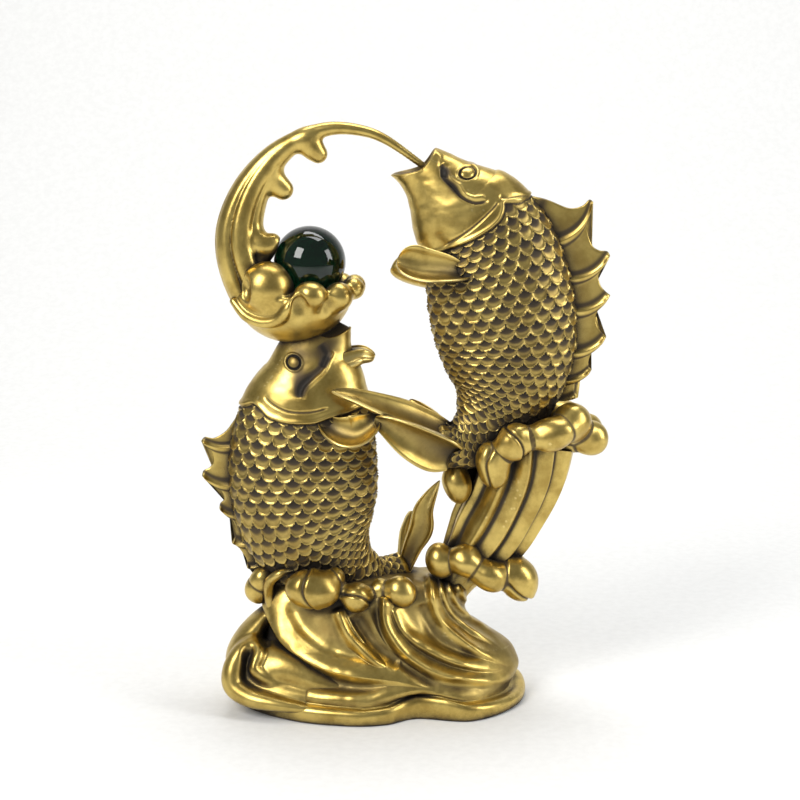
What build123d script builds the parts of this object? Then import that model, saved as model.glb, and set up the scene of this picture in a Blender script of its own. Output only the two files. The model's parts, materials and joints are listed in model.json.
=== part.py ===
from build123d import *
import math
import os

# Ornament of two leaping carp over waves, with a glass ball held in a cup of foam.
# The origin is on the table under the middle of the ornament: +X to the viewer's
# right, +Y away from the viewer, +Z up. Lengths are millimetres.

# Foot and rolling waves
foot_length = 128.0
foot_width = 82.0
foot_centre_across = -11.0
foot_thickness = 7.5
foot_edge_round = 2.6
mound_height = 49.0
mound_top_length = 86.0
mound_top_width = 42.0
hollow_height = 13.0
hollow_wall = 9.0
hollow_taper = 12.0

# Wave ridges that run down the mound, and the scroll at its left end
ridge_width = 9.0
ridge_thickness = 7.0
scroll_width = 11.0
scroll_thickness = 17.0

# Column of water that lifts the upper carp
column_height = 76.0
column_top_width = 46.0
column_top_depth = 32.0
column_reach = 36.0
column_foot_across = 20.0
column_sink = 11.0

# Lower carp: height from the bend of its tail to its mouth, depth from back to belly
lower_carp_height = 110.0
lower_carp_depth = 62.0
lower_carp_thickness = 38.0
lower_carp_reach = 43.0
lower_carp_across = -43.0
lower_dorsal_height = 13.0
lower_pectoral_length = 25.0
lower_pectoral_width = 13.0
lower_tail_length = 43.0
lower_tail_width = 11.0

# Upper carp, measured the same way
upper_carp_height = 119.0
upper_carp_depth = 60.0
upper_carp_thickness = 37.0
upper_carp_reach = 38.0
upper_carp_gap_across = 86.5
upper_carp_sink = 0.6
upper_dorsal_height = 18.0
upper_pectoral_length = 29.0
upper_pectoral_width = 16.0
upper_tail_length = 52.0
upper_tail_width = 17.0

# Details that both carp share
gill_lift = 0.9
eye_diameter = 7.2
eye_rise = 0.9
mouth_depth = 11.0
lip_length = 8.0
fin_web_thickness = 1.8
fin_ray_diameter = 3.4
fin_tip_diameter = 1.8
leaf_thickness = 2.6

# Ball, the foam cup that holds it and the crescent of spray above it
ball_diameter = 30.0
ball_seat_gap = 0.3
cup_diameter = 47.0
cup_floor = 18.5
cup_rim_drop = 9.0
cup_shift_across = -8.4
cup_sink = 2.1
rim_bead_diameter = 11.5
rim_bead_drop = 10.8
swirl_diameter = 19.0
spray_width = 22.0
spray_thickness = 23.0
spray_rise = 73.0
spray_tip_inset = 4.0
drip_length = 11.0
drip_thickness = 6.0

# Foam beads of the two collars
lower_collar_bead_diameter = 14.0
upper_collar_bead_diameter = 17.0
upper_collar_length = 60.0
upper_collar_width = 36.0
upper_collar_drop = 5.0

# Dowels that locate the castings before they are brazed
dowel_diameter = 4.0
dowel_length = 14.0

os.makedirs("parts", exist_ok=True)
AWAY = Vector(0, 1, 0)


def unit_tangents(points):
    """Give the direction of the path at each of its points."""
    last = len(points) - 1
    tangents = []
    for index in range(len(points)):
        before = points[max(index - 1, 0)]
        after = points[min(index + 1, last)]
        tangents.append((after - before).normalized())
    return tangents


def oval_sections(points, half_widths, half_thicknesses, thick_way=AWAY):
    """Draw one ellipse square to the path at each point, thin along thick_way."""
    sections = []
    tangents = unit_tangents(points)
    for point, tangent, width, thickness in zip(points, tangents, half_widths, half_thicknesses):
        plane = Plane(origin=point, x_dir=thick_way.cross(tangent), z_dir=tangent)
        with BuildSketch(plane) as section:
            Ellipse(width, thickness)
        sections.append(section.sketch)
    return sections


def between(table, row):
    """Read a table of vectors or numbers at a row that may lie between two rows."""
    low = min(int(row), len(table) - 2)
    share = row - low
    return table[low] * (1 - share) + table[low + 1] * share


def bead(centre, diameter):
    """Make one round bead of foam."""
    return Plane(origin=centre, z_dir=AWAY) * Sphere(diameter / 2, mode=Mode.PRIVATE)


class Carp:
    """Path, sizes and side directions of one carp, worked out from its table of shares."""

    def __init__(self, shares, across, foot, reach, height, depth, thickness, back_sign):
        self.centres = [
            Vector(across + x * reach, y * thickness, foot + z * height) for x, z, y, d, t in shares
        ]
        self.half_depths = [depth * row[3] for row in shares]
        self.half_thicknesses = [thickness * row[4] for row in shares]
        self.tangents = unit_tangents(self.centres)
        self.backs = [tangent.cross(AWAY).normalized() * back_sign for tangent in self.tangents]

    def beside(self, row, depth_share, out=0.0):
        """Point at a share of the half depth towards the back, moved out by a length."""
        side = between(self.backs, row).normalized()
        return between(self.centres, row) + side * (between(self.half_depths, row) * depth_share + out)

    def on_flank(self, row, depth_share, near_sign, sink=0.0):
        """Point on the side of the body, on the viewer's side where near_sign is -1."""
        swell = between(self.half_thicknesses, row) * math.sqrt(1 - depth_share**2)
        return self.beside(row, depth_share) + AWAY * near_sign * (swell - sink)


# Rows of a carp from the mouth to the tail: across, up, away, half depth, half thickness
lower_carp_shares = [
    (0.280, 1.000, 0.00, 0.150, 0.170),
    (0.175, 0.925, 0.00, 0.245, 0.270),
    (0.118, 0.846, 0.00, 0.335, 0.360),
    (0.070, 0.737, 0.00, 0.430, 0.440),
    (0.010, 0.580, 0.00, 0.487, 0.487),
    (0.000, 0.424, 0.00, 0.500, 0.500),
    (0.040, 0.266, 0.00, 0.465, 0.470),
    (0.185, 0.129, 0.02, 0.385, 0.400),
    (0.448, 0.031, 0.06, 0.275, 0.300),
    (0.748, 0.000, 0.12, 0.195, 0.210),
    (1.000, 0.039, 0.18, 0.140, 0.145),
]
upper_carp_shares = [
    (-1.000, 1.000, 0.00, 0.130, 0.150),
    (-0.770, 0.917, 0.00, 0.240, 0.270),
    (-0.560, 0.838, 0.00, 0.355, 0.365),
    (-0.340, 0.765, 0.00, 0.420, 0.425),
    (-0.175, 0.655, 0.00, 0.470, 0.473),
    (-0.065, 0.487, 0.00, 0.500, 0.500),
    (0.000, 0.322, 0.00, 0.465, 0.460),
    (-0.050, 0.165, -0.04, 0.360, 0.365),
    (-0.264, 0.050, -0.12, 0.250, 0.270),
    (-0.540, 0.000, -0.22, 0.175, 0.195),
    (-0.749, 0.010, -0.32, 0.135, 0.140),
]
gill_row = 3
eye_row_share = 1.35

lower = Carp(
    lower_carp_shares,
    lower_carp_across,
    mound_height,
    lower_carp_reach,
    lower_carp_height,
    lower_carp_depth,
    lower_carp_thickness,
    -1,
)
column_foot_height = mound_height - column_sink
column_top_height = column_foot_height + column_height
upper = Carp(
    upper_carp_shares,
    lower_carp_across + upper_carp_gap_across,
    column_top_height - upper_carp_sink,
    upper_carp_reach,
    upper_carp_height,
    upper_carp_depth,
    upper_carp_thickness,
    1,
)


def carp_hull(carp, grow=0.0, rows=None):
    """Loft the carp's body, or only its first rows, a little larger or smaller."""
    last = rows or len(carp.centres)
    return oval_sections(
        carp.centres[:last],
        [depth + grow for depth in carp.half_depths[:last]],
        [thickness + grow for thickness in carp.half_thicknesses[:last]],
    )


# A leaf's sections: run along it, width, thickness
leaf_row_shares = [(0.0, 0.40, 1.5), (0.25, 0.80, 1.25), (0.55, 1.0, 0.95), (0.85, 0.70, 0.65), (1.0, 0.35, 0.5)]
# Where a dorsal fin's web and rays start and end, as shares of the body's half depth and the fin's height
fin_edge_share = 0.97
fin_root_share = 0.7
fin_root_steps = 4
fin_notch_share = 0.16
ray_root_share = 0.78
ray_waist_share = 0.42
eye_depth_share = 0.42


def leaf_fin(root, way, thin_way, length, width, curl=0.0):
    """Draw the sections of a cupped leaf from its root, thin along thin_way."""
    points = [root + way * (length * run) + thin_way * (curl * run**2) for run, wide, thick in leaf_row_shares]
    half_widths = [width / 2 * wide for run, wide, thick in leaf_row_shares]
    half_thicknesses = [leaf_thickness / 2 * thick for run, wide, thick in leaf_row_shares]
    return oval_sections(points, half_widths, half_thicknesses, thin_way)


def fin_web(carp, tips, front_row, rear_row, height):
    """Outline a dorsal fin: pointed tips with hollow edges between them, rooted in the back."""
    crowns = [carp.beside(row, 1.0, height * share) for row, share in tips]
    outline = [carp.beside(front_row, fin_edge_share)] + crowns + [carp.beside(rear_row, fin_edge_share)]
    with BuildSketch(Plane.XZ) as web:
        with BuildLine():
            for start, end in zip(outline[:-1], outline[1:]):
                middle = (start + end) * 0.5
                inward = (carp.beside(sum(row for row, share in tips) / len(tips), 0) - middle).normalized()
                sag = middle + inward * ((end - start).length * fin_notch_share)
                ThreePointArc((start.X, start.Z), (sag.X, sag.Z), (end.X, end.Z))
            roots = [(outline[-1].X, outline[-1].Z)]
            for step in range(fin_root_steps + 1):
                row = rear_row + (front_row - rear_row) * step / fin_root_steps
                root = carp.beside(row, fin_root_share)
                roots.append((root.X, root.Z))
            roots.append((outline[0].X, outline[0].Z))
            Polyline(*roots)
        make_face()
    return web.sketch


def fin_rays(carp, tips, height, lag_rows):
    """Draw the sections of each ray, from deep in the back out to its tip."""
    rays = []
    for row, share in tips:
        root = carp.beside(row + lag_rows, ray_root_share)
        waist = carp.beside(row + lag_rows * ray_waist_share, 1.0, height * share * ray_waist_share)
        tip = carp.beside(row, 1.0, height * share)
        radii = (fin_ray_diameter / 2, (fin_ray_diameter + fin_tip_diameter) / 4, fin_tip_diameter / 2)
        rays.append(oval_sections([root, waist, tip], radii, radii))
    return rays


def add_eyes(carp):
    """Raise a domed eye on each side of the head."""
    for near_sign in (-1, 1):
        seat = carp.on_flank(eye_row_share, eye_depth_share, near_sign, eye_diameter / 2 - eye_rise - gill_lift)
        add(bead(seat, eye_diameter))


def on_foot(across_share, away_share, up_share):
    """Place a point by shares of the foot's half length, its half width and the mound."""
    return Vector(
        foot_centre_across + foot_length / 2 * across_share,
        foot_width / 2 * away_share,
        mound_height * up_share,
    )


def on_crest(across_share, away_share, up_share):
    """Place a point by shares of the mound top's half length, its half width and its height."""
    return Vector(
        foot_centre_across + mound_top_length / 2 * across_share,
        mound_top_width / 2 * away_share,
        mound_height * up_share,
    )


# Levels of the mound: height, length and how far it is the top's, width likewise, and
# how far the level leans left as a share of the top's length
mound_level_shares = [
    (0.08, 0.95, 0.00, 0.91, 0.00, 0.000),
    (0.36, 0.97, 0.12, 0.95, 0.55, -0.012),
    (0.56, 0.93, 0.30, 0.97, 0.78, -0.035),
    (0.76, 0.95, 0.80, 0.99, 0.92, -0.050),
    (1.00, 1.00, 1.00, 1.00, 1.00, -0.010),
    (1.10, 0.80, 1.00, 0.72, 1.00, 0.000),
]


def mound_size(up_share):
    """Length, width and middle of the mound at a share of its height."""
    ups = [row[0] for row in mound_level_shares]
    row = 0
    while row < len(ups) - 2 and ups[row + 1] < up_share:
        row += 1
    blend = (up_share - ups[row]) / (ups[row + 1] - ups[row])
    sizes = []
    for up, length_scale, length_blend, width_scale, width_blend, lean in mound_level_shares[row : row + 2]:
        level_length = (foot_length * (1 - length_blend) + mound_top_length * length_blend) * length_scale
        level_width = (foot_width * (1 - width_blend) + mound_top_width * width_blend) * width_scale
        sizes.append((level_length, level_width, foot_centre_across + mound_top_length * lean))
    low_sizes, high_sizes = sizes
    return tuple(low * (1 - blend) + high * blend for low, high in zip(low_sizes, high_sizes))


def on_mound(along_share, up_share, side_sign):
    """Place a point on the mound's side, at a share of its length there."""
    length, width, middle = mound_size(up_share)
    return Vector(
        middle + length / 2 * along_share,
        width / 2 * side_sign * math.sqrt(1 - along_share**2),
        mound_height * up_share,
    )


def horn(points, width, thickness, swell_shares):
    """Draw the sections of a wave ridge that swells and dies away along its path."""
    half_widths = [width / 2 * share for share in swell_shares]
    half_thicknesses = [thickness / 2 * share for share in swell_shares]
    return oval_sections(points, half_widths, half_thicknesses)


def dowel(centre, way):
    """Make one locating dowel, centred on the joint that it locates."""
    plane = Plane(origin=centre, z_dir=way)
    with BuildPart(plane) as pin:
        Cylinder(dowel_diameter / 2, dowel_length)
    return pin.part


# Lips: how far they run and flare, where they sit, and how wide the upper carp gapes
lip_run = lip_length * 1.8
lip_width = lip_length * 1.15
lip_seat_share = 0.75
lip_flare_share = 0.45
gape_share = 0.8
lower_lip_root_shares = (1.3, -0.45)
lower_lip_way_shares = (0.93, 0, 0.37)

# Lower carp, standing on the crest with its mouth under the cup
with BuildPart() as lower_carp_body:
    loft(carp_hull(lower))
    loft(carp_hull(lower, gill_lift, gill_row + 1))
    add_eyes(lower)
    lip_way = Vector(*lower_lip_way_shares).normalized()
    lip_root = lower.beside(*lower_lip_root_shares)
    loft(leaf_fin(lip_root, lip_way, lip_way.cross(AWAY), lip_run, lip_width))

# Upper carp, bent like a bow, with the jet of spray leaving its open mouth
mouth_way = upper.tangents[0]
mouth_back = upper.backs[0]
with BuildPart() as upper_carp_body:
    loft(carp_hull(upper))
    loft(carp_hull(upper, gill_lift, gill_row + 1))
    add_eyes(upper)
    for side_sign in (-1, 1):
        lip_side = mouth_back * (side_sign * upper.half_depths[0] * lip_seat_share)
        lip_root = upper.centres[0] + lip_side + mouth_way * lip_length
        lip_way = (mouth_back * (side_sign * lip_flare_share) - mouth_way).normalized()
        loft(leaf_fin(lip_root, lip_way, lip_way.cross(AWAY), lip_run, lip_width))
    mouth_plane = Plane(origin=upper.centres[0], x_dir=mouth_back, z_dir=AWAY)
    with BuildSketch(mouth_plane):
        with BuildLine():
            gape = upper.half_depths[0] * gape_share
            Polyline((-gape, -lip_length), (gape, -lip_length), (0, mouth_depth), close=True)
        make_face()
    extrude(amount=upper_carp_thickness, both=True, mode=Mode.SUBTRACT)

# Foot and mound of rolling waves, hollow beneath as cast
foot_outline_shares = [
    (-1.00, 0.05),
    (-0.88, -0.42),
    (-0.52, -0.72),
    (-0.08, -1.00),
    (0.24, -0.86),
    (0.62, -0.84),
    (0.92, -0.46),
    (1.00, 0.02),
    (0.90, 0.48),
    (0.52, 0.86),
    (0.05, 1.00),
    (-0.40, 0.84),
    (-0.80, 0.66),
]
ridge_table_shares = [
    (-1, [(-0.84, 0.88), (-0.74, 0.62), (-0.44, 0.37), (0.00, 0.28), (0.42, 0.25)]),
    (-1, [(-0.54, 0.88), (-0.40, 0.68), (-0.12, 0.49), (0.25, 0.40)]),
    (-1, [(-0.03, 0.88), (0.12, 0.64), (0.42, 0.42), (0.80, 0.28)]),
    (-1, [(0.47, 0.90), (0.62, 0.72), (0.84, 0.47), (0.96, 0.30)]),
    (1, [(-0.68, 0.88), (-0.48, 0.62), (-0.08, 0.38), (0.42, 0.28)]),
    (1, [(0.22, 0.90), (0.44, 0.66), (0.74, 0.42), (0.95, 0.30)]),
]
ridge_root_share = 0.55
ridge_start_shares = [0.6, 0.8]
ridge_end_shares = [0.35]
scroll_path_shares = [
    (-0.48, -0.14, 0.94),
    (-0.70, -0.20, 1.00),
    (-0.85, -0.24, 0.86),
    (-0.94, -0.24, 0.56),
    (-0.88, -0.28, 0.28),
    (-0.70, -0.36, 0.30),
]
scroll_swell_shares = [0.6, 0.85, 1.1, 1.2, 0.95, 0.35]
with BuildPart() as wave_base:
    with BuildSketch():
        with BuildLine():
            outline_points = []
            for across_share, away_share in foot_outline_shares:
                corner = on_foot(across_share, away_share, 0)
                outline_points.append((corner.X, corner.Y))
            Spline(*outline_points, periodic=True)
        make_face()
    extrude(amount=foot_thickness)
    fillet(edges().group_by(Axis.Z)[-1], foot_edge_round)
    for row in mound_level_shares:
        level_length, level_width, level_middle = mound_size(row[0])
        with BuildSketch(Plane.XY.offset(mound_height * row[0])):
            with Locations((level_middle, 0)):
                Ellipse(level_length / 2, level_width / 2)
    loft()
    with BuildSketch():
        with Locations((foot_centre_across, 0)):
            Ellipse(foot_length / 2 - hollow_wall, foot_width / 2 - hollow_wall)
    extrude(amount=hollow_height, taper=hollow_taper, mode=Mode.SUBTRACT)
    for side_sign, path in ridge_table_shares:
        swell_shares = ridge_start_shares + [1.0] * (len(path) - 2) + ridge_end_shares
        ridge_points = [on_mound(*place, side_sign) for place in path]
        ridge_points.insert(0, on_crest(0, 0, 1) + (ridge_points[0] - on_crest(0, 0, 1)) * ridge_root_share)
        loft(horn(ridge_points, ridge_width, ridge_thickness, swell_shares))
    scroll_points = [on_foot(*place) for place in scroll_path_shares]
    loft(horn(scroll_points, scroll_width, scroll_thickness, scroll_swell_shares))
    add(lower_carp_body.part, mode=Mode.SUBTRACT)

# Column of water, waisted at its foot and swept up to the right
column_row_shares = [
    (0.000, 0.00, 0.46, 0.50),
    (0.040, 0.10, 0.38, 0.46),
    (0.190, 0.25, 0.52, 0.60),
    (0.430, 0.44, 0.72, 0.80),
    (0.700, 0.63, 0.86, 0.94),
    (0.930, 0.82, 0.96, 1.00),
    (1.000, 1.00, 1.00, 1.00),
]
column_points = []
for across_share, up_share, width_share, depth_share in column_row_shares:
    column_points.append(
        Vector(
            column_foot_across + column_reach * across_share,
            0,
            column_foot_height + column_height * up_share,
        )
    )
column_half_widths = [column_top_width / 2 * row[2] for row in column_row_shares]
column_half_depths = [column_top_depth / 2 * row[3] for row in column_row_shares]
with BuildPart() as wave_column:
    loft(oval_sections(column_points, column_half_widths, column_half_depths))
    add(upper_carp_body.part, mode=Mode.SUBTRACT)
    add(wave_base.part, mode=Mode.SUBTRACT)
    add(lower_carp_body.part, mode=Mode.SUBTRACT)

# Foam along the crest, before and behind the lower carp: across, away, up, and the
# bead's diameter as a share of the mound top's length
front_crest_shares = [
    (-1.19, -0.39, 1.00, 0.190),
    (-0.91, -0.74, 1.03, 0.190),
    (-0.63, -0.96, 1.10, 0.213),
    (-0.40, -1.02, 1.22, 0.158),
    (-0.21, -1.03, 1.05, 0.168),
    (0.04, -0.94, 1.02, 0.154),
    (0.25, -0.86, 1.06, 0.148),
]
rear_crest_shares = [
    (-1.13, 0.47, 1.00, 0.188),
    (-0.85, 0.78, 1.04, 0.198),
    (-0.63, 0.94, 1.08, 0.178),
    (-0.42, 1.02, 1.08, 0.188),
    (-0.21, 0.98, 1.02, 0.168),
    (-0.01, 0.94, 1.00, 0.148),
]


def crest_beads(rows):
    """Give the foam beads that stand along a crest."""
    return [bead(on_crest(*row[:3]), mound_top_length * row[3]) for row in rows]


with BuildPart() as front_crest_foam:
    add(crest_beads(front_crest_shares))
    add(lower_carp_body.part, mode=Mode.SUBTRACT)
    add(wave_column.part, mode=Mode.SUBTRACT)
    add(wave_base.part, mode=Mode.SUBTRACT)

with BuildPart() as rear_crest_foam:
    add(crest_beads(rear_crest_shares))
    add(lower_carp_body.part, mode=Mode.SUBTRACT)
    add(wave_column.part, mode=Mode.SUBTRACT)
    add(wave_base.part, mode=Mode.SUBTRACT)

# Collar of foam round the foot of the column: row, across, away, size
lower_collar_shares = [
    (2.3, -1.00, -0.75, 0.90),
    (2.5, -0.30, -1.00, 1.00),
    (2.1, 0.65, -1.10, 1.12),
    (2.0, 1.75, -0.60, 1.40),
    (1.9, 1.45, 0.60, 1.10),
    (2.0, 0.55, 1.05, 1.15),
    (2.2, -0.55, 0.95, 1.05),
]
with BuildPart() as lower_foam_collar:
    for row, across_share, away_share, size_share in lower_collar_shares:
        side = Vector(
            between(column_half_widths, row) * across_share,
            between(column_half_depths, row) * away_share,
            0,
        )
        add(bead(between(column_points, row) + side, lower_collar_bead_diameter * size_share))
    add(wave_column.part, mode=Mode.SUBTRACT)
    add(wave_base.part, mode=Mode.SUBTRACT)
    add(lower_carp_body.part, mode=Mode.SUBTRACT)

# Collar of foam under the upper carp: angle round the column, rise, size
upper_collar_shares = [
    (0, 0.47, 0.90),
    (35, 1.00, 0.95),
    (68, 0.80, 1.15),
    (95, 0.50, 1.00),
    (122, -0.12, 1.10),
    (155, -0.68, 0.95),
    (200, -0.60, 0.85),
    (228, -0.35, 0.95),
    (255, 0.00, 1.00),
    (283, 0.35, 1.05),
    (310, 0.60, 1.00),
    (336, 0.60, 0.90),
]
collar_centre = column_points[-1] - Vector(upper_collar_drop, 0, upper_collar_drop)
with BuildPart() as upper_foam_collar:
    for angle, rise_share, size_share in upper_collar_shares:
        across = upper_collar_length / 2 * math.cos(math.radians(angle))
        away = -upper_collar_width / 2 * math.sin(math.radians(angle))
        place = collar_centre + Vector(across, away, upper_collar_bead_diameter * rise_share)
        add(bead(place, upper_collar_bead_diameter * size_share))
    add(wave_column.part, mode=Mode.SUBTRACT)
    add(upper_carp_body.part, mode=Mode.SUBTRACT)

# Foam cup on the lower carp's mouth, with a round seat for the ball
ball_centre = lower.centres[0] + Vector(
    cup_shift_across, 0, cup_floor + ball_diameter / 2 - cup_sink
)
seat_radius = ball_diameter / 2 + ball_seat_gap
cup_radius = cup_diameter / 2
rim_bead_shares = [
    (-15, 0.85),
    (-52, 0.95),
    (-90, 1.10),
    (-127, 1.00),
    (22, 0.90),
    (58, 1.00),
    (95, 1.05),
    (130, 0.95),
]
rim_circle_share = 0.86
cup_profile_shares = [(0.58, 0.16), (0.93, 0.55)]
swirl_shares = (-0.77, -0.42, -0.38)
with BuildPart() as spray_cup:
    with BuildSketch(Plane(origin=ball_centre, x_dir=(1, 0, 0), z_dir=(0, -1, 0))):
        with BuildLine():
            cup_bottom = -ball_diameter / 2 - cup_floor
            cup_side = -cup_rim_drop - cup_bottom
            Spline(
                (0, cup_bottom),
                *[(cup_radius * out, cup_bottom + cup_side * up) for out, up in cup_profile_shares],
                (cup_radius, -cup_rim_drop),
                tangents=[(1, 0), (0, 1)],
            )
            Line((cup_radius, -cup_rim_drop), (0, -cup_rim_drop))
            Line((0, -cup_rim_drop), (0, cup_bottom))
        make_face()
    revolve(axis=Axis(ball_centre, (0, 0, 1)))
    for angle, size_share in rim_bead_shares:
        side = Vector(math.cos(math.radians(angle)), math.sin(math.radians(angle)), 0)
        place = ball_centre + side * (cup_radius * rim_circle_share) - Vector(0, 0, rim_bead_drop)
        add(bead(place, rim_bead_diameter * size_share))
    swirl_place = ball_centre + Vector(*swirl_shares) * cup_radius
    add(bead(swirl_place, swirl_diameter))
    with Locations(ball_centre):
        Sphere(seat_radius, mode=Mode.SUBTRACT)
    add(lower_carp_body.part, mode=Mode.SUBTRACT)

# Crescent of spray from the cup to the upper carp's mouth: along, rise, fall, width, thickness
spray_row_shares = [
    (0.170, -0.125, 0.00, 0.300, 0.360),
    (0.000, 0.000, 0.00, 0.470, 0.500),
    (-0.117, 0.206, 0.00, 0.477, 0.480),
    (-0.154, 0.412, 0.00, 0.440, 0.435),
    (-0.087, 0.629, 0.00, 0.364, 0.370),
    (0.050, 0.812, 0.00, 0.273, 0.283),
    (0.222, 0.934, 0.00, 0.182, 0.196),
    (0.420, 1.000, 0.00, 0.132, 0.143),
    (0.617, 1.000, 0.03, 0.105, 0.113),
    (0.802, 1.000, 0.39, 0.086, 0.091),
    (1.000, 1.000, 1.00, 0.060, 0.065),
]
spray_root_shares = (-0.82, 0.0, -0.76)
spray_root = ball_centre + Vector(*spray_root_shares) * cup_radius
spray_end = upper.centres[0] + mouth_way * spray_tip_inset
spray_top_height = spray_root.Z + spray_rise
spray_points = []
for along_share, rise_share, fall_share, width_share, thick_share in spray_row_shares:
    height = spray_root.Z + spray_rise * rise_share
    height = height - (spray_top_height - spray_end.Z) * fall_share
    across = spray_root.X + (spray_end.X - spray_root.X) * along_share
    spray_points.append(Vector(across, 0, height))
spray_half_widths = [spray_width * row[3] for row in spray_row_shares]
spray_half_thicknesses = [spray_thickness * row[4] for row in spray_row_shares]
drip_shares = [
    (6.3, 0.45, 0.00, -1.05, 1.00),
    (4.9, 0.75, 0.00, -1.00, 1.20),
    (3.05, 1.35, -0.30, -0.35, 0.90),
]
drip_swell_shares = [1.5, 1.15, 0.8]
with BuildPart() as spray_arch:
    loft(oval_sections(spray_points, spray_half_widths, spray_half_thicknesses))
    for row, across_share, away_share, up_share, size_share in drip_shares:
        root = between(spray_points, row)
        tip = root + Vector(across_share, away_share, up_share) * drip_length
        radii = [drip_thickness / 2 * size_share * swell for swell in drip_swell_shares]
        loft(oval_sections([root, (root + tip) * 0.5, tip], radii, radii))
        add(bead(tip, radii[-1] * 2))
    with Locations(ball_centre):
        Sphere(seat_radius, mode=Mode.SUBTRACT)
    add(spray_cup.part, mode=Mode.SUBTRACT)
    add(upper_carp_body.part, mode=Mode.SUBTRACT)

# Glass ball, lying loose in its cup
with BuildPart() as glass_ball:
    with Locations(ball_centre):
        Sphere(ball_diameter / 2)

# Fins, each cut to the body that it stands on
upper_dorsal_tip_shares = [(4.1, 1.0), (4.55, 1.0), (5.05, 0.80), (5.6, 0.68), (6.2, 0.50), (6.8, 0.38)]
lower_dorsal_tip_shares = [(3.9, 0.95), (4.7, 1.0), (5.5, 0.50), (6.3, 0.38), (7.0, 0.36)]
upper_dorsal_row_shares = (3.05, 7.2)
lower_dorsal_row_shares = (3.2, 7.4)
upper_ray_lag_share = 0.25
lower_ray_lag_share = -0.2
with BuildPart() as upper_carp_dorsal_fin:
    web = fin_web(upper, upper_dorsal_tip_shares, *upper_dorsal_row_shares, upper_dorsal_height)
    extrude(web, amount=fin_web_thickness / 2, both=True)
    for ray in fin_rays(upper, upper_dorsal_tip_shares, upper_dorsal_height, upper_ray_lag_share):
        loft(ray)
    add(upper_carp_body.part, mode=Mode.SUBTRACT)
    add(upper_foam_collar.part, mode=Mode.SUBTRACT)
with BuildPart() as lower_carp_dorsal_fin:
    web = fin_web(lower, lower_dorsal_tip_shares, *lower_dorsal_row_shares, lower_dorsal_height)
    extrude(web, amount=fin_web_thickness / 2, both=True)
    for ray in fin_rays(lower, lower_dorsal_tip_shares, lower_dorsal_height, lower_ray_lag_share):
        loft(ray)
    add(lower_carp_body.part, mode=Mode.SUBTRACT)
    add(wave_base.part, mode=Mode.SUBTRACT)
    add(front_crest_foam.part, mode=Mode.SUBTRACT)
    add(rear_crest_foam.part, mode=Mode.SUBTRACT)

# Pectoral fins: root on the flank by row and depth, and the way each fin points
upper_pectoral_root_shares = (3.75, -0.52)
upper_pectoral_way_shares = (-0.92, 0.38, 0.26)
lower_pectoral_root_shares = (3.2, -0.38)
lower_pectoral_way_shares = (0.78, 0.38, -0.50)
pectorals = {}
for near_sign, side_name in ((-1, "near"), (1, "far")):
    with BuildPart() as upper_pectoral:
        root = upper.on_flank(*upper_pectoral_root_shares, near_sign, leaf_thickness)
        across_share, away_share, up_share = upper_pectoral_way_shares
        way = Vector(across_share, away_share * near_sign, up_share).normalized()
        thin_way = Vector(0, near_sign, -up_share).normalized()
        thin_way = (thin_way - way * way.dot(thin_way)).normalized()
        loft(leaf_fin(root, way, thin_way, upper_pectoral_length, upper_pectoral_width, leaf_thickness))
        add(upper_carp_body.part, mode=Mode.SUBTRACT)
    pectorals[f"upper_carp_{side_name}_pectoral_fin"] = upper_pectoral
    with BuildPart() as lower_pectoral:
        root = lower.on_flank(*lower_pectoral_root_shares, near_sign, leaf_thickness)
        across_share, away_share, up_share = lower_pectoral_way_shares
        way = Vector(across_share, away_share * near_sign, up_share).normalized()
        thin_way = Vector(0, near_sign, -up_share).normalized()
        thin_way = (thin_way - way * way.dot(thin_way)).normalized()
        loft(leaf_fin(root, way, thin_way, lower_pectoral_length, lower_pectoral_width, leaf_thickness))
        add(lower_carp_body.part, mode=Mode.SUBTRACT)
    pectorals[f"lower_carp_{side_name}_pectoral_fin"] = lower_pectoral

# Tail fins: the upper carp's spreads to the left, the lower carp's stands by the column
upper_tail_shares = [
    (-0.880, -0.230, 0.470, 1.06, 0.70),
    (-0.860, -0.380, 0.340, 0.68, 1.40),
    (-0.820, 0.500, 0.280, 0.66, 1.20),
    (-0.720, 0.420, 0.560, 0.46, 0.60),
]
tail_root_row_share = 9.6
lower_tail_shares = [
    (0.340, 0.000, 0.940, 1.00, 1.00),
    (0.100, 0.480, 0.860, 0.85, 0.90),
]
with BuildPart() as upper_carp_tail_fin:
    for across_share, away_share, up_share, length_share, width_share in upper_tail_shares:
        way = Vector(across_share, away_share, up_share).normalized()
        thin_way = (AWAY - way * way.dot(AWAY)).normalized()
        loft(
            leaf_fin(
                between(upper.centres, tail_root_row_share),
                way,
                thin_way,
                upper_tail_length * length_share,
                upper_tail_width * width_share,
                -leaf_thickness,
            )
        )
    add(upper_carp_body.part, mode=Mode.SUBTRACT)
    add(lower_carp_body.part, mode=Mode.SUBTRACT)
with BuildPart() as lower_carp_tail_fin:
    for across_share, away_share, up_share, length_share, width_share in lower_tail_shares:
        way = Vector(across_share, away_share, up_share).normalized()
        thin_way = (AWAY - way * way.dot(AWAY)).normalized()
        loft(
            leaf_fin(
                between(lower.centres, tail_root_row_share),
                way,
                thin_way,
                lower_tail_length * length_share,
                lower_tail_width * width_share,
                leaf_thickness,
            )
        )
    add(lower_carp_body.part, mode=Mode.SUBTRACT)
    add(wave_base.part, mode=Mode.SUBTRACT)
    add(wave_column.part, mode=Mode.SUBTRACT)
    add(lower_foam_collar.part, mode=Mode.SUBTRACT)

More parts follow.
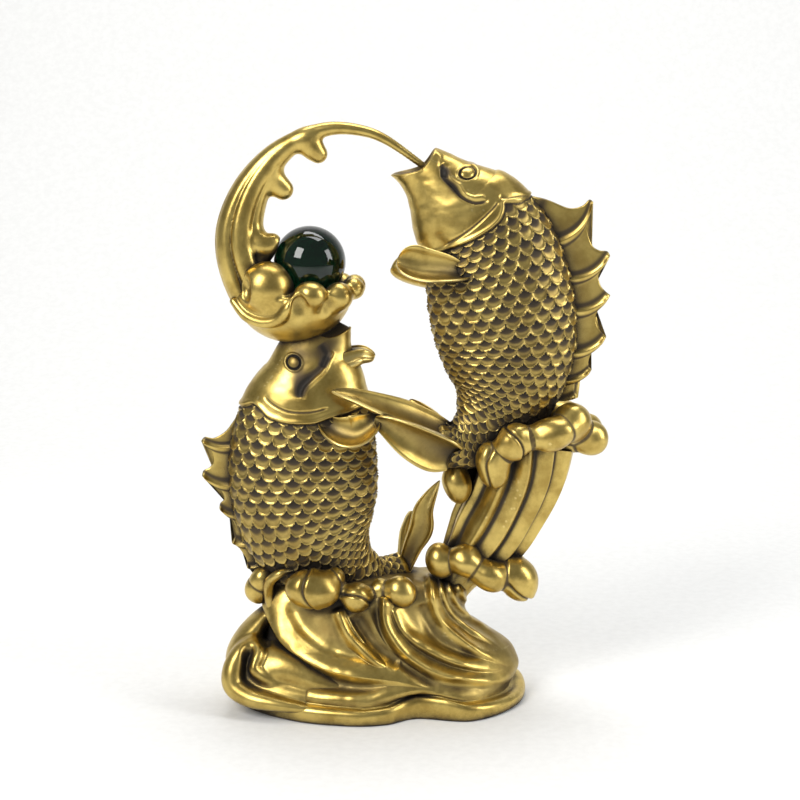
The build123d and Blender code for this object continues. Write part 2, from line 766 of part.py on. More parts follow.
# Dowels across the brazed joints
belly_row_share = 7.5
belly_depth_share = 0.98
joint_dowels = {
    "cup_dowel": dowel(lower.centres[0], Vector(0, 0, 1)),
    "lower_carp_dowel": dowel(lower.beside(belly_row_share, belly_depth_share), lower.backs[8]),
    "column_dowel": dowel(column_points[1] + Vector(0, 0, dowel_diameter), Vector(0, 0, 1)),
    "upper_carp_dowel": dowel(upper.beside(belly_row_share, belly_depth_share), upper.backs[7]),
}
dowelled = {
    "cup_dowel": (lower_carp_body, spray_cup),
    "lower_carp_dowel": (lower_carp_body, wave_base),
    "column_dowel": (wave_base, wave_column),
    "upper_carp_dowel": (upper_carp_body, wave_column),
}

pieces = {
    "wave_base": wave_base,
    "front_crest_foam": front_crest_foam,
    "rear_crest_foam": rear_crest_foam,
    "wave_column": wave_column,
    "lower_foam_collar": lower_foam_collar,
    "upper_foam_collar": upper_foam_collar,
    "lower_carp_body": lower_carp_body,
    "lower_carp_dorsal_fin": lower_carp_dorsal_fin,
    "lower_carp_tail_fin": lower_carp_tail_fin,
    "upper_carp_body": upper_carp_body,
    "upper_carp_dorsal_fin": upper_carp_dorsal_fin,
    "upper_carp_tail_fin": upper_carp_tail_fin,
    "spray_cup": spray_cup,
    "spray_arch": spray_arch,
    "glass_ball": glass_ball,
}
pieces.update(pectorals)
solids_by_name = {name: piece.part for name, piece in pieces.items()}
for pin_name, joined in dowelled.items():
    for name, piece in pieces.items():
        if piece in joined:
            solids_by_name[name] = solids_by_name[name] - joint_dowels[pin_name]
    solids_by_name[pin_name] = joint_dowels[pin_name]
for name, solid in solids_by_name.items():
    solid.label = name
    export_step(solid, f"parts/{name}.step")
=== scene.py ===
# %% [markdown]
# # Two carp leaping from waves
# The object is a cast brass ornament: two carp, rolling waves, beads of foam and a green glass ball.
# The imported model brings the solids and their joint. This file gives each piece its carved surface
# and its finish. Every shape is worked out in millimetres first and turned into metres at the end.

# %% Load the frame
import json
import math
import bpy
import numpy as np
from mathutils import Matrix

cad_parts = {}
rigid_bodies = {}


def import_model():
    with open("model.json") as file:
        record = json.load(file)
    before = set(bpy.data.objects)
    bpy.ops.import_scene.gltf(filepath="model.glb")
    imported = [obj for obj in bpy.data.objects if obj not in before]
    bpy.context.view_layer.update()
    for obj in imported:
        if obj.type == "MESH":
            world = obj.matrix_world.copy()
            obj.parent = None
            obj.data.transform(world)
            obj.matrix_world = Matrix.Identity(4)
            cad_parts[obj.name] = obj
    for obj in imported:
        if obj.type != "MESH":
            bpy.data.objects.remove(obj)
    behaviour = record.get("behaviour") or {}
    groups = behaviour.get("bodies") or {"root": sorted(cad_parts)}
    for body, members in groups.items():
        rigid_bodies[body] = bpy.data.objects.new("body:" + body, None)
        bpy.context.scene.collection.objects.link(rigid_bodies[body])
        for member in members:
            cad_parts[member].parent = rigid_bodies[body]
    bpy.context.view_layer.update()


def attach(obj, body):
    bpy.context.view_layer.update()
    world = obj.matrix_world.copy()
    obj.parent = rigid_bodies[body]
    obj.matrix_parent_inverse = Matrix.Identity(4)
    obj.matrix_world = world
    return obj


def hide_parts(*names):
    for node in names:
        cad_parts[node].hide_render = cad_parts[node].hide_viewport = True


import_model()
import openvdb
from mathutils import Vector

# %% [markdown]
# ## A drawing to measure from
# A sculptor works from a front view. Here too, places are given by where they stand in a square
# front drawing, 800 steps on a side, and by how far they lie behind or before its middle.
# One step is 0.42 mm. The view looks down a little, so depth also shifts a place up or down.

# %% The drawing's scale
MM = 0.001
DRAWING_STEP = 0.42
DRAWING_MIDDLE = 401.5
DRAWING_TABLE = 700.0
LOOK_DOWN = math.radians(13)
TILT_AWAY = math.sin(LOOK_DOWN)
TILT_UP = math.cos(LOOK_DOWN)
AWAY = np.array([0.0, 1.0, 0.0])


def at(across, down, away=0.0):
    """Turn a place on the drawing and its depth in millimetres into a point."""
    height = (DRAWING_TABLE - down) * DRAWING_STEP
    up = (height - TILT_AWAY * away) / TILT_UP
    return np.array([(across - DRAWING_MIDDLE) * DRAWING_STEP, away, up])


def line(*places):
    """Turn several places into an array of points."""
    return np.array([at(*place) for place in places])


def seen(points):
    """Give where points appear on the drawing, as steps across and down."""
    across = points[..., 0] / DRAWING_STEP + DRAWING_MIDDLE
    height = points[..., 2] * TILT_UP + points[..., 1] * TILT_AWAY
    return across, DRAWING_TABLE - height / DRAWING_STEP


print("drawing ready, middle of the picture at", at(400, 400).round(1))

# %% [markdown]
# ## Helpers that turn numbers into metal
# Every carved surface here is a grid of points: rows along a path and columns round it. NumPy moves
# thousands of points at once, which is how real relief can be cut into a surface in a second.
# The helpers smooth a few drawn points into a curve, close a grid into a skin, and make a mesh.

# %% Curves and easing
def ease(value):
    """Rise smoothly from 0 to 1."""
    value = np.clip(value, 0.0, 1.0)
    return value * value * (3.0 - 2.0 * value)


def bell(distance, width):
    """Fall off smoothly on both sides of zero."""
    return np.exp(-((distance / width) ** 2))


def smooth(values, places):
    """Read a table at rows that may lie between two rows, along a smooth curve."""
    table = np.asarray(values, dtype=float)
    places = np.asarray(places, dtype=float)
    flat = table.ndim == 1
    if flat:
        table = table[:, None]
    last = len(table) - 1
    low = np.clip(np.floor(places).astype(int), 0, last - 1)
    share = (places - low)[:, None]
    before = table[np.clip(low - 1, 0, last)]
    start = table[low]
    end = table[low + 1]
    after = table[np.clip(low + 2, 0, last)]
    slope_in = (end - before) / 2
    slope_out = (after - start) / 2
    square = share**2
    cube = share**3
    found = (
        (2 * cube - 3 * square + 1) * start
        + (cube - 2 * square + share) * slope_in
        + (3 * square - 2 * cube) * end
        + (cube - square) * slope_out
    )
    return found[:, 0] if flat else found


def unit(vectors):
    """Scale vectors to a length of one."""
    length = np.linalg.norm(vectors, axis=-1, keepdims=True)
    return vectors / np.maximum(length, 1e-9)


def grain(points, size, seed):
    """Give soft seeded unevenness, between about -1 and 1, over points."""
    random = np.random.default_rng(seed)
    total = np.zeros(points.shape[:-1])
    waves = 7
    for wave in range(waves):
        way = unit(random.normal(size=3))
        phase = random.uniform(0, 2 * math.pi)
        pace = random.uniform(0.6, 1.6) * 2 * math.pi / size
        cross_way = unit(random.normal(size=3))
        bent = 1.7 * np.sin(points @ cross_way * pace * 0.6)
        total += np.sin(points @ way * pace + phase + bent)
    return total / waves * 1.6


print("halfway through an ease:", ease(0.5))

# %% [markdown]
# A casting has thickness and no open edges. So every grid here is closed into a skin, with a fan of
# triangles at each end. A negative volume shows that a skin is inside out, and its faces are turned.

# %% From grids to meshes
def outward(grid):
    """Give outward directions at each point of a closed tube."""
    around = np.roll(grid, -1, axis=1) - np.roll(grid, 1, axis=1)
    normals = unit(np.cross(np.gradient(grid, axis=0), around))
    from_axis = grid - grid.mean(axis=1, keepdims=True)
    if np.einsum("ijk,ijk->", normals, from_axis) < 0:
        normals = -normals
    return normals


def skin(grid, tones, ends=(0.0, 0.0)):
    """Close a tube with a fan at each end: points, faces of four and of three corners, tones."""
    rows, columns, _ = grid.shape
    points = np.concatenate([grid.reshape(-1, 3), grid[:1].mean(axis=1), grid[-1:].mean(axis=1)])
    index = np.arange(rows * columns).reshape(rows, columns)
    following = np.roll(index, -1, axis=1)
    corners = [index[:-1], following[:-1], following[1:], index[1:]]
    quads = np.stack(corners, axis=-1).reshape(-1, 4)
    pole = np.full(columns, rows * columns)
    start_fan = np.stack([pole, following[0], index[0]], axis=-1)
    end_fan = np.stack([pole + 1, index[-1], following[-1]], axis=-1)
    tones = np.concatenate([np.clip(tones, 0, 1).ravel(), ends])
    return points, quads, np.concatenate([start_fan, end_fan]), tones


def volume_of(points, quads, tris):
    """Measure a closed skin; a negative volume means that it is inside out."""
    halves = np.concatenate([quads[:, [0, 1, 2]], quads[:, [0, 2, 3]], tris])
    first, second, third = (points[halves[:, corner]] for corner in range(3))
    return np.einsum("ij,ij->", first, np.cross(second, third)) / 6


def piece(name, shells):
    """Make one mesh from closed shells. It stands for the solid of the same name."""
    placed = []
    start = 0
    for points, quads, tris, tones in shells:
        if volume_of(points, quads, tris) < 0:
            quads = quads[:, ::-1]
            tris = tris[:, ::-1]
        placed.append((points, quads + start, tris + start, tones))
        start += len(points)
    points, quads, tris, tones = (np.concatenate(kind) for kind in zip(*placed))
    mesh = bpy.data.meshes.new(name)
    mesh.vertices.add(len(points))
    mesh.vertices.foreach_set("co", (points * MM).astype(np.float32).ravel())
    corners = np.concatenate([quads.ravel(), tris.ravel()]).astype(np.int32)
    mesh.loops.add(len(corners))
    mesh.loops.foreach_set("vertex_index", corners)
    tri_starts = len(quads) * 4 + np.arange(len(tris)) * 3
    starts = np.concatenate([np.arange(len(quads)) * 4, tri_starts]).astype(np.int32)
    mesh.polygons.add(len(starts))
    mesh.polygons.foreach_set("loop_start", starts)
    mesh.polygons.foreach_set("use_smooth", np.ones(len(starts), dtype=bool))
    mesh.update(calc_edges=True)
    mesh.validate()
    recess = mesh.attributes.new("recess", "FLOAT", "POINT")
    recess.data.foreach_set("value", tones.astype(np.float32))
    made = bpy.data.objects.new(name, mesh)
    bpy.context.scene.collection.objects.link(made)
    made.data.materials.append(finishes["cast_brass"])
    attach(made, "ornament")
    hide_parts(name)
    print(name, len(points), "points")


print("mesh helpers ready")

# %% [markdown]
# ## Finishes
# Old cast brass is bright where hands rub it, and brown to black in the hollows where polish never
# reaches. One shader node group works out where that is: Ambient Occlusion finds hollows, the mesh's
# own "recess" values mark the floor of each scale, and Pointiness finds rubbed edges. On the cup,
# the "recess" values paint shade on the seat under the ball. The group puts out masks only.
# Colours and the shader stay in the material, where they can be tuned by eye.

# %% Small helpers for shader nodes
def fill(tree, socket, value):
    """Set a socket to a number or a colour, or link another node's output into it."""
    if isinstance(value, bpy.types.NodeSocket):
        tree.links.new(value, socket)
    elif isinstance(value, tuple):
        socket.default_value = (*value, 1.0)
    else:
        socket.default_value = value


def feed(tree, node, **inputs):
    """Fill a node's inputs by name, with _ for each space."""
    for name, value in inputs.items():
        fill(tree, node.inputs[name.replace("_", " ")], value)


def ranged(tree, source, low, high, result_low=0.0, result_high=1.0):
    """Stretch part of a value's range over another range."""
    node = tree.nodes.new("ShaderNodeMapRange")
    node.interpolation_type = "SMOOTHSTEP"
    feed(tree, node, Value=source, From_Min=low, From_Max=high, To_Min=result_low, To_Max=result_high)
    return node.outputs["Result"]


def combined(tree, operation, first, second, clamp=True):
    """Join two values with a Math node."""
    node = tree.nodes.new("ShaderNodeMath")
    node.operation = operation
    node.use_clamp = clamp
    fill(tree, node.inputs[0], first)
    fill(tree, node.inputs[1], second)
    return node.outputs[0]


def mix_colour(tree, share, first, second):
    """Blend two colours."""
    node = tree.nodes.new("ShaderNodeMix")
    node.data_type = "RGBA"
    feed(tree, node, Factor=share, A=first, B=second)
    return node.outputs["Result"]


def noise(tree, vector, scale, detail, roughness=0.6):
    """Place one noise texture over the object's own coordinates."""
    node = tree.nodes.new("ShaderNodeTexNoise")
    feed(tree, node, Vector=vector, Scale=scale, Detail=detail, Roughness=roughness)
    return node.outputs["Fac"]


def bumped(tree, height, strength, distance):
    """Turn a height into a direction that light meets."""
    node = tree.nodes.new("ShaderNodeBump")
    feed(tree, node, Height=height, Strength=strength, Distance=distance)
    return node.outputs["Normal"]


def own_places(tree):
    """Give the coordinates that stay with the object."""
    return tree.nodes.new("ShaderNodeTexCoord").outputs["Object"]


print("node helpers ready")

# %% A node group for age and wear
FLOAT = "NodeSocketFloat"
aged_metal = bpy.data.node_groups.new("Aged cast metal", "ShaderNodeTree")
for socket_name, default in (("Hollow Depth", 0.006), ("Blotch Scale", 90.0), ("Grain Scale", 1400.0)):
    socket = aged_metal.interface.new_socket(name=socket_name, in_out="INPUT", socket_type=FLOAT)
    socket.default_value = default
for socket_name in ("Hollow", "Rubbed", "Blotch", "Grain"):
    aged_metal.interface.new_socket(name=socket_name, in_out="OUTPUT", socket_type=FLOAT)
group_in = aged_metal.nodes.new("NodeGroupInput").outputs
group_out = aged_metal.nodes.new("NodeGroupOutput")
occlusion = aged_metal.nodes.new("ShaderNodeAmbientOcclusion")
occlusion.samples = 6
feed(aged_metal, occlusion, Distance=group_in["Hollow Depth"])
metal_places = own_places(aged_metal)
blotch = noise(aged_metal, metal_places, group_in["Blotch Scale"], 5.0, 0.65)
speck = noise(aged_metal, metal_places, group_in["Grain Scale"], 3.0, 0.5)
carved = aged_metal.nodes.new("ShaderNodeAttribute")
carved.attribute_name = "recess"
closed_in = ranged(aged_metal, occlusion.outputs["AO"], 0.92, 0.34)
uneven = ranged(aged_metal, blotch, 0.30, 0.75, 0.55, 1.25)
hollow = combined(aged_metal, "MULTIPLY", closed_in, uneven)
hollow = combined(aged_metal, "ADD", hollow, carved.outputs["Fac"])
pointiness = aged_metal.nodes.new("ShaderNodeNewGeometry").outputs["Pointiness"]
rubbed = ranged(aged_metal, pointiness, 0.52, 0.60)
feed(aged_metal, group_out, Hollow=hollow, Rubbed=rubbed, Blotch=blotch, Grain=speck)
print("group", aged_metal.name, "with", len(aged_metal.nodes), "nodes")

# %% [markdown]
# The castings share one brass. Dowels are turned from rod, so theirs is brighter and finer in grain.
# The ball is bottle glass: nearly black, and green only where light comes through it.

# %% Brass, dowel brass and glass
BRASS_BRIGHT = (0.66, 0.49, 0.145)
BRASS_WARM = (0.42, 0.29, 0.075)
BRASS_RUBBED = (0.84, 0.68, 0.28)
# Patina colours; on the cup's seat they also show painted shade under the ball.
PATINA_AND_SHADE_BROWN = (0.085, 0.062, 0.036)
PATINA_AND_SHADE_DARK = (0.018, 0.014, 0.010)
DOWEL_BRIGHT = (0.70, 0.55, 0.26)
DOWEL_WARM = (0.60, 0.44, 0.18)
GLASS_DEEP = (0.0004, 0.005, 0.002)
GLASS_GREEN = (0.002, 0.016, 0.006)
PIT_DEPTH = 0.0004
CORD_DEPTH = 0.0005
CORD_SCALE = 60.0
SEED_SCALE = 900.0
GLASS_REFRACTION = 1.52


def new_finish(name):
    """Start a material: itself, its node tree and its shader."""
    finish = bpy.data.materials.new(name)
    finish.use_nodes = True
    return finish, finish.node_tree, finish.node_tree.nodes["Principled BSDF"]


def brass(name, bright, warm, grain_scale, pit_strength):
    """Make an aged brass with its own tones and grain."""
    finish, tree, shader = new_finish(name)
    age = tree.nodes.new("ShaderNodeGroup")
    age.node_tree = aged_metal
    feed(tree, age, Grain_Scale=grain_scale)
    hollow, rubbed, blotch, speck = (age.outputs[mask] for mask in ("Hollow", "Rubbed", "Blotch", "Grain"))
    metal = mix_colour(tree, ranged(tree, blotch, 0.35, 0.70), bright, warm)
    metal = mix_colour(tree, combined(tree, "MULTIPLY", rubbed, 0.55), metal, BRASS_RUBBED)
    # The brown and dark mixes are patina in hollows, and painted shade on the cup's seat under the ball.
    metal = mix_colour(tree, ranged(tree, hollow, 0.10, 0.62), metal, PATINA_AND_SHADE_BROWN)
    metal = mix_colour(tree, ranged(tree, hollow, 0.58, 1.0), metal, PATINA_AND_SHADE_DARK)
    dull = ranged(tree, hollow, 0.05, 0.8, 0.31, 0.60)
    speckled = ranged(tree, speck, 0.2, 0.8, -0.03, 0.04)
    hammered = combined(tree, "MULTIPLY", blotch, 1.6)
    height = combined(tree, "ADD", hammered, speck, False)
    feed(tree, shader, Base_Color=metal, Metallic=ranged(tree, hollow, 0.25, 1.0, 1.0, 0.45))
    feed(tree, shader, Roughness=combined(tree, "ADD", dull, speckled))
    feed(tree, shader, Normal=bumped(tree, height, pit_strength, PIT_DEPTH))
    return finish


def bottle_glass(name):
    """Make dark green glass with faint cords and seeds in it."""
    finish, tree, shader = new_finish(name)
    places = own_places(tree)
    cords = noise(tree, places, CORD_SCALE, 3.0)
    seeds = noise(tree, places, SEED_SCALE, 2.0)
    shade = mix_colour(tree, ranged(tree, cords, 0.35, 0.7), GLASS_DEEP, GLASS_GREEN)
    feed(tree, shader, Base_Color=shade, Metallic=0.0, Transmission_Weight=1.0, IOR=GLASS_REFRACTION)
    feed(tree, shader, Roughness=ranged(tree, seeds, 0.3, 0.8, 0.0, 0.015))
    feed(tree, shader, Normal=bumped(tree, cords, 0.08, CORD_DEPTH))
    return finish


finishes = {
    "cast_brass": brass("Aged cast brass", BRASS_BRIGHT, BRASS_WARM, 1100.0, 0.05),
    "dowel_brass": brass("Turned dowel brass", DOWEL_BRIGHT, DOWEL_WARM, 2600.0, 0.15),
    "green_glass": bottle_glass("Dark green glass"),
}
print("finishes:", ", ".join(finishes))

# %% [markdown]
# ## Sweeping a section along a path
# A carp's body and the column of water are ovals that follow a path and change size on the way.
# A few given rows are enough: the sweep reads smoothly between them.

# %% The sweep
def sweep(table, rows, columns, thick_way=AWAY, wide_to_thick=1.0):
    """Sweep an oval along a path; a row of the table holds its middle, half width, half thickness.

    The last value is the width over the thickness, so that points stand evenly round a flat oval.
    """
    places = np.linspace(0, len(table) - 1, rows)
    profile = smooth(table, places)
    centres = profile[:, :3]
    ways = unit(np.gradient(centres, axis=0))
    sides = unit(np.cross(np.broadcast_to(thick_way, ways.shape), ways))
    thicks = unit(np.cross(ways, sides))
    fine = np.linspace(0, 2 * math.pi, 721)
    pace = np.hypot(wide_to_thick * np.sin(fine), np.cos(fine))
    run = np.concatenate([[0], np.cumsum((pace[1:] + pace[:-1]) / 2)])
    angles = np.interp(np.arange(columns) / columns * run[-1], run, fine)
    wide = (profile[:, 3:4] * np.cos(angles))[..., None]
    thick = (profile[:, 4:5] * np.sin(angles))[..., None]
    return centres[:, None] + sides[:, None] * wide + thicks[:, None] * thick, places, angles


print("sweep ready")

# %% [markdown]
# Lips and fins are cupped leaves, thin at the rim. Each leaf is a closed shell of two faces: the
# inner face is hollow like a hand, and the rim rolls over as cast edges do.

# %% Leaves for a lip, the pectoral fins and the tail fins
LEAF_ROWS = 110
LEAF_COLUMNS = 46
LEAF_EDGE = 0.15


def leaf(places, half_widths, facing, cup, thick=1.9, tip=0.14):
    """Make a cupped leaf along drawn places; facing is the way that its hollow looks."""
    facing = unit(np.array(facing))
    rows = np.linspace(0, len(places) - 1, LEAF_ROWS)
    run = np.linspace(0, 1, LEAF_ROWS)[:, None]
    across = np.linspace(-1, 1, LEAF_COLUMNS)[None]
    centres = smooth(line(*places), rows)
    ways = unit(np.gradient(centres, axis=0))
    faces = unit(facing - ways * (ways @ facing)[:, None])
    sides = np.cross(faces, ways)
    tip_round = np.sqrt(np.clip(1 - np.clip((run - 1 + tip) / tip, 0, 1) ** 2, 0, 1))
    widths = np.maximum(smooth(half_widths, rows)[:, None] * tip_round, LEAF_EDGE)
    lift = cup * widths * (across**2 - 0.25)
    sheet = centres[:, None] + sides[:, None] * (widths * across)[..., None]
    sheet = sheet + faces[:, None] * lift[..., None]
    rim = np.sqrt(np.clip(1 - across**8, 0, 1)) * (0.25 + 0.75 * tip_round)
    roll = 1 + 0.9 * bell(np.abs(across) - 0.86, 0.12)
    half = (thick / 2 * (1.35 - 0.6 * run) * rim * roll)[..., None] * faces[:, None]
    hollow_tone = 0.55 * (1 - across**2) * (1 - 0.7 * run)
    back_tone = 0.10 * (1 - run) * np.ones_like(hollow_tone)
    loop = np.concatenate([sheet + half, (sheet - half)[:, ::-1]], axis=1)
    return skin(loop, np.concatenate([hollow_tone, back_tone], axis=1))


def mirrored(shell, shift=(0.0, 0.0, 0.0)):
    """Copy a shell to the other side of the body, moved a little if asked."""
    points, *rest = shell
    return (points * [1.0, -1.0, 1.0] + shift, *rest)


print("a leaf has", LEAF_ROWS, "rows of", 2 * LEAF_COLUMNS, "points")

# %% [markdown]
# ## Lines drawn on a surface
# The gill cover, the jaw and the waves are drawn lines that stand up as ridges or sink as grooves.
# For every point of a grid, the helper finds how far the drawn line is, on which side, and how far
# along it, so that a ridge can swell and die away.

# %% Distance to a drawn line
def from_line(flat_points, path):
    """Distance to a path, the side that a point lies on, and its share along the path."""
    steps = len(path) - 1
    fine = smooth(path, np.linspace(0, steps, steps * 4 + 1))
    best = np.full(flat_points.shape[:-1], np.inf)
    side = np.ones(flat_points.shape[:-1])
    share = np.zeros(flat_points.shape[:-1])
    for index in range(len(fine) - 1):
        start = fine[index]
        way = fine[index + 1] - start
        length = max(way @ way, 1e-9)
        rest = flat_points - start
        along = np.clip((rest @ way) / length, 0, 1)
        gap = rest - along[..., None] * way
        distance = np.hypot(gap[..., 0], gap[..., 1])
        nearer = distance < best
        turn = way[0] * rest[..., 1] - way[1] * rest[..., 0]
        best = np.where(nearer, distance, best)
        side = np.where(nearer, np.sign(turn), side)
        share = np.where(nearer, (index + along) / (len(fine) - 1), share)
    return best, side, share


def raised(flat_points, path, width, fade=0.12):
    """A ridge of height one along a path, fading out at both ends."""
    distance, _, share = from_line(flat_points, path)
    return bell(distance, width) * ease(share / fade) * ease((1 - share) / fade)


print("line helpers ready")

# %% [markdown]
# ## The carp's scaled bodies
# Each body is one sweep along a bent spine, with more than 400 rows and columns, so that every scale
# is real relief. Scales lie like roof tiles: staggered rows, the round edge towards the tail, a
# raised bright rim, and a floor that sinks under the row before it. The number of scales round the
# body stays the same, so they shrink as it narrows. The thin tail root has fewer and larger ones.

# %% Scales as relief
SCALES_ROUND = 24
TAIL_SCALES_ROUND = 14
TAIL_GIRTH_SHARE = 0.62
SCALE_PITCH_SHARE = 0.70
SCALE_LIFT = 0.62
SCALE_RIM = 0.50
SCALE_RIM_SHARE = 0.085


def tile(row, round_place):
    """Number of the nearest tile in a row, the place across it, and its round edge there."""
    place = round_place - 0.5 * (row % 2)
    side = place - np.round(place)
    return np.round(place), side, 0.40 + 0.60 * np.sqrt(np.clip(1 - 4 * side**2, 0, 1))


def scale_relief(row_place, round_place):
    """Height, rim and recess of the scales, for places counted in scales."""
    row = np.floor(row_place)
    inside = row_place - row
    own_middle, own_side, own_edge = tile(row, round_place)
    next_middle, next_side, next_edge = tile(row + 1, round_place)
    covered = inside < own_edge
    side = np.where(covered, own_side, next_side)
    to_edge = np.where(covered, own_edge - inside, 1.0 + next_edge - inside)
    middle = np.where(covered, own_middle, next_middle)
    scale_row = np.where(covered, row, row + 1)
    chance = np.sin(middle * 12.9898 + scale_row * 78.233) * 43758.5453
    chance = chance - np.floor(chance)
    side_rim = 0.55 * bell(0.5 - np.abs(side), 0.07) * ease((0.8 - to_edge) / 0.3)
    rim = bell(to_edge - 0.04, SCALE_RIM_SHARE) + side_rim
    height = (0.85 + 0.3 * chance) * (1.05 - 0.75 * to_edge) - 0.22 * bell(to_edge - 0.32, 0.16)
    recess = ease((to_edge - 0.10) / 0.14) * (0.45 + 0.55 * ease((to_edge - 0.45) / 0.45))
    recess = recess * (0.70 + 0.35 * chance) * (1 - 0.5 * np.clip(rim, 0, 1))
    return height, rim, recess


def scales(grid):
    """Lay scales over a whole body: how high they stand, and how dark their floors are."""
    centres = grid.mean(axis=1)
    steps = np.linalg.norm(np.diff(centres, axis=0), axis=1)
    girth = np.linalg.norm(grid - np.roll(grid, 1, axis=1), axis=-1).sum(axis=1)
    columns = grid.shape[1]
    both = []
    for scales_round in (SCALES_ROUND, TAIL_SCALES_ROUND):
        scale_size = girth / scales_round
        pitch = SCALE_PITCH_SHARE * (scale_size[1:] + scale_size[:-1]) / 2
        row_place = np.concatenate([[0], np.cumsum(steps / pitch)])
        round_place = np.arange(columns) / columns * scales_round
        both.append(scale_relief(row_place[:, None], round_place[None]))
    size = (girth / girth.max())[:, None]
    tail = ease((TAIL_GIRTH_SHARE - size) / 0.05)
    height, rim, recess = (wide * (1 - tail) + narrow * tail for wide, narrow in zip(*both))
    return size * (SCALE_LIFT * height + SCALE_RIM * rim), recess


print("a carp has", SCALES_ROUND, "scales round its body")

# %% [markdown]
# The head is smooth where the body is scaled. One drawn line, the edge of the gill cover, parts the
# two: before it lie the cheek, the jaw and the eye, and behind it the scales begin. The first row is
# pulled out into lips and then turned inwards, so that the mouth is really hollow.

# %% A carp's body, ready for its own head
CARP_ROWS = 470
CARP_COLUMNS = 440
LIP_ROWS = 26
LIP_TURN = 0.3
TAIL_ROWS = 10
LIP_AIM_ROW = 12
TURN_AIM_ROW = 14
GILL_RUN_ON = 3
WIDE_TO_THICK = 1.6
COVER_HEIGHT = 1.15
COVER_EDGE_HEIGHT = 0.45
COVER_EDGE_TONE = 0.5
SCALE_FLOOR_TONE = 0.80
STAIN_TONE = 0.45
HEAD_GRAIN = 9.0
HEAD_GRAIN_HEIGHT = 0.10


def flare_lips(grid, places, angles, rows, belly_reach, back_reach, belly_flare, back_flare):
    """Pull the rim of the mouth forward and outward at the two lips; its corners stay back."""
    near_mouth = np.clip(1 - places / rows, 0, 1)[:, None] ** 2
    centres = grid.mean(axis=1, keepdims=True)
    forward = unit(centres[0] - centres[LIP_AIM_ROW])
    outward_way = unit(grid - centres)
    belly = np.clip(np.cos(angles), 0, 1)[None] ** 1.6 * near_mouth
    back = np.clip(-np.cos(angles), 0, 1)[None] ** 1.6 * near_mouth
    ahead = (belly_reach * belly + back_reach * back)[..., None]
    out = (belly_flare * belly + back_flare * back)[..., None]
    return grid + forward * ahead + outward_way * out


def carp_shell(grid, mouth_depth, lip_thickness, recess):
    """Turn the lips inwards into a hollow mouth and round off the tail."""
    centre = grid[0].mean(axis=0)
    into = unit(grid[TURN_AIM_ROW].mean(axis=0) - centre)
    share = (np.arange(LIP_ROWS, 0, -1) / LIP_ROWS)[:, None, None]
    turn = np.minimum(share / LIP_TURN, 1.0) * math.pi
    past = np.maximum(share - LIP_TURN, 0)
    radius = 1 - lip_thickness * np.sin(turn / 2) - 0.72 * past
    depth = mouth_depth * past / (1 - LIP_TURN) - lip_thickness * 2.2 * np.sin(turn)
    mouth = centre + (grid[0] - centre) * radius + into * depth
    end = grid[-1].mean(axis=0)
    tail_way = unit(end - grid[-TURN_AIM_ROW].mean(axis=0))
    turn = (np.arange(1, TAIL_ROWS) / TAIL_ROWS)[:, None, None] * math.pi / 2
    reach = 0.6 * np.linalg.norm(grid[-1] - end, axis=-1).min()
    cap = end + (grid[-1] - end) * np.cos(turn) + tail_way * reach * np.sin(turn)
    columns = grid.shape[1]
    mouth_tone = np.repeat(np.linspace(1.0, 0.25, LIP_ROWS)[:, None], columns, axis=1)
    tones = np.concatenate([mouth_tone, recess, np.zeros((TAIL_ROWS - 1, columns))])
    return skin(np.concatenate([mouth, grid, cap]), tones)


def project(grid, places):
    """Lay drawn places on the near side of a body and give them in the front plane."""
    across, down = seen(grid)
    near = grid[..., 1] < np.median(grid[..., 1])
    flat = grid.reshape(-1, 3)[:, [0, 2]]
    laid = []
    for place in places:
        gap = (across - place[0]) ** 2 + (down - place[1]) ** 2
        laid.append(flat[np.argmin(np.where(near, gap, np.inf))])
    return np.array(laid)


def eye_relief(gap, size):
    """An eye's height and stain at a distance from its middle: ring, groove and round pupil."""
    groove = gap - size * 0.76
    pupil = np.sqrt(np.clip(1 - (gap / (size * 0.72)) ** 2, 0, 1))
    height = 0.55 * bell(gap - size, 0.42) - 0.35 * bell(groove, 0.40) + 1.05 * pupil
    return height, 0.85 * bell(groove, 0.36)


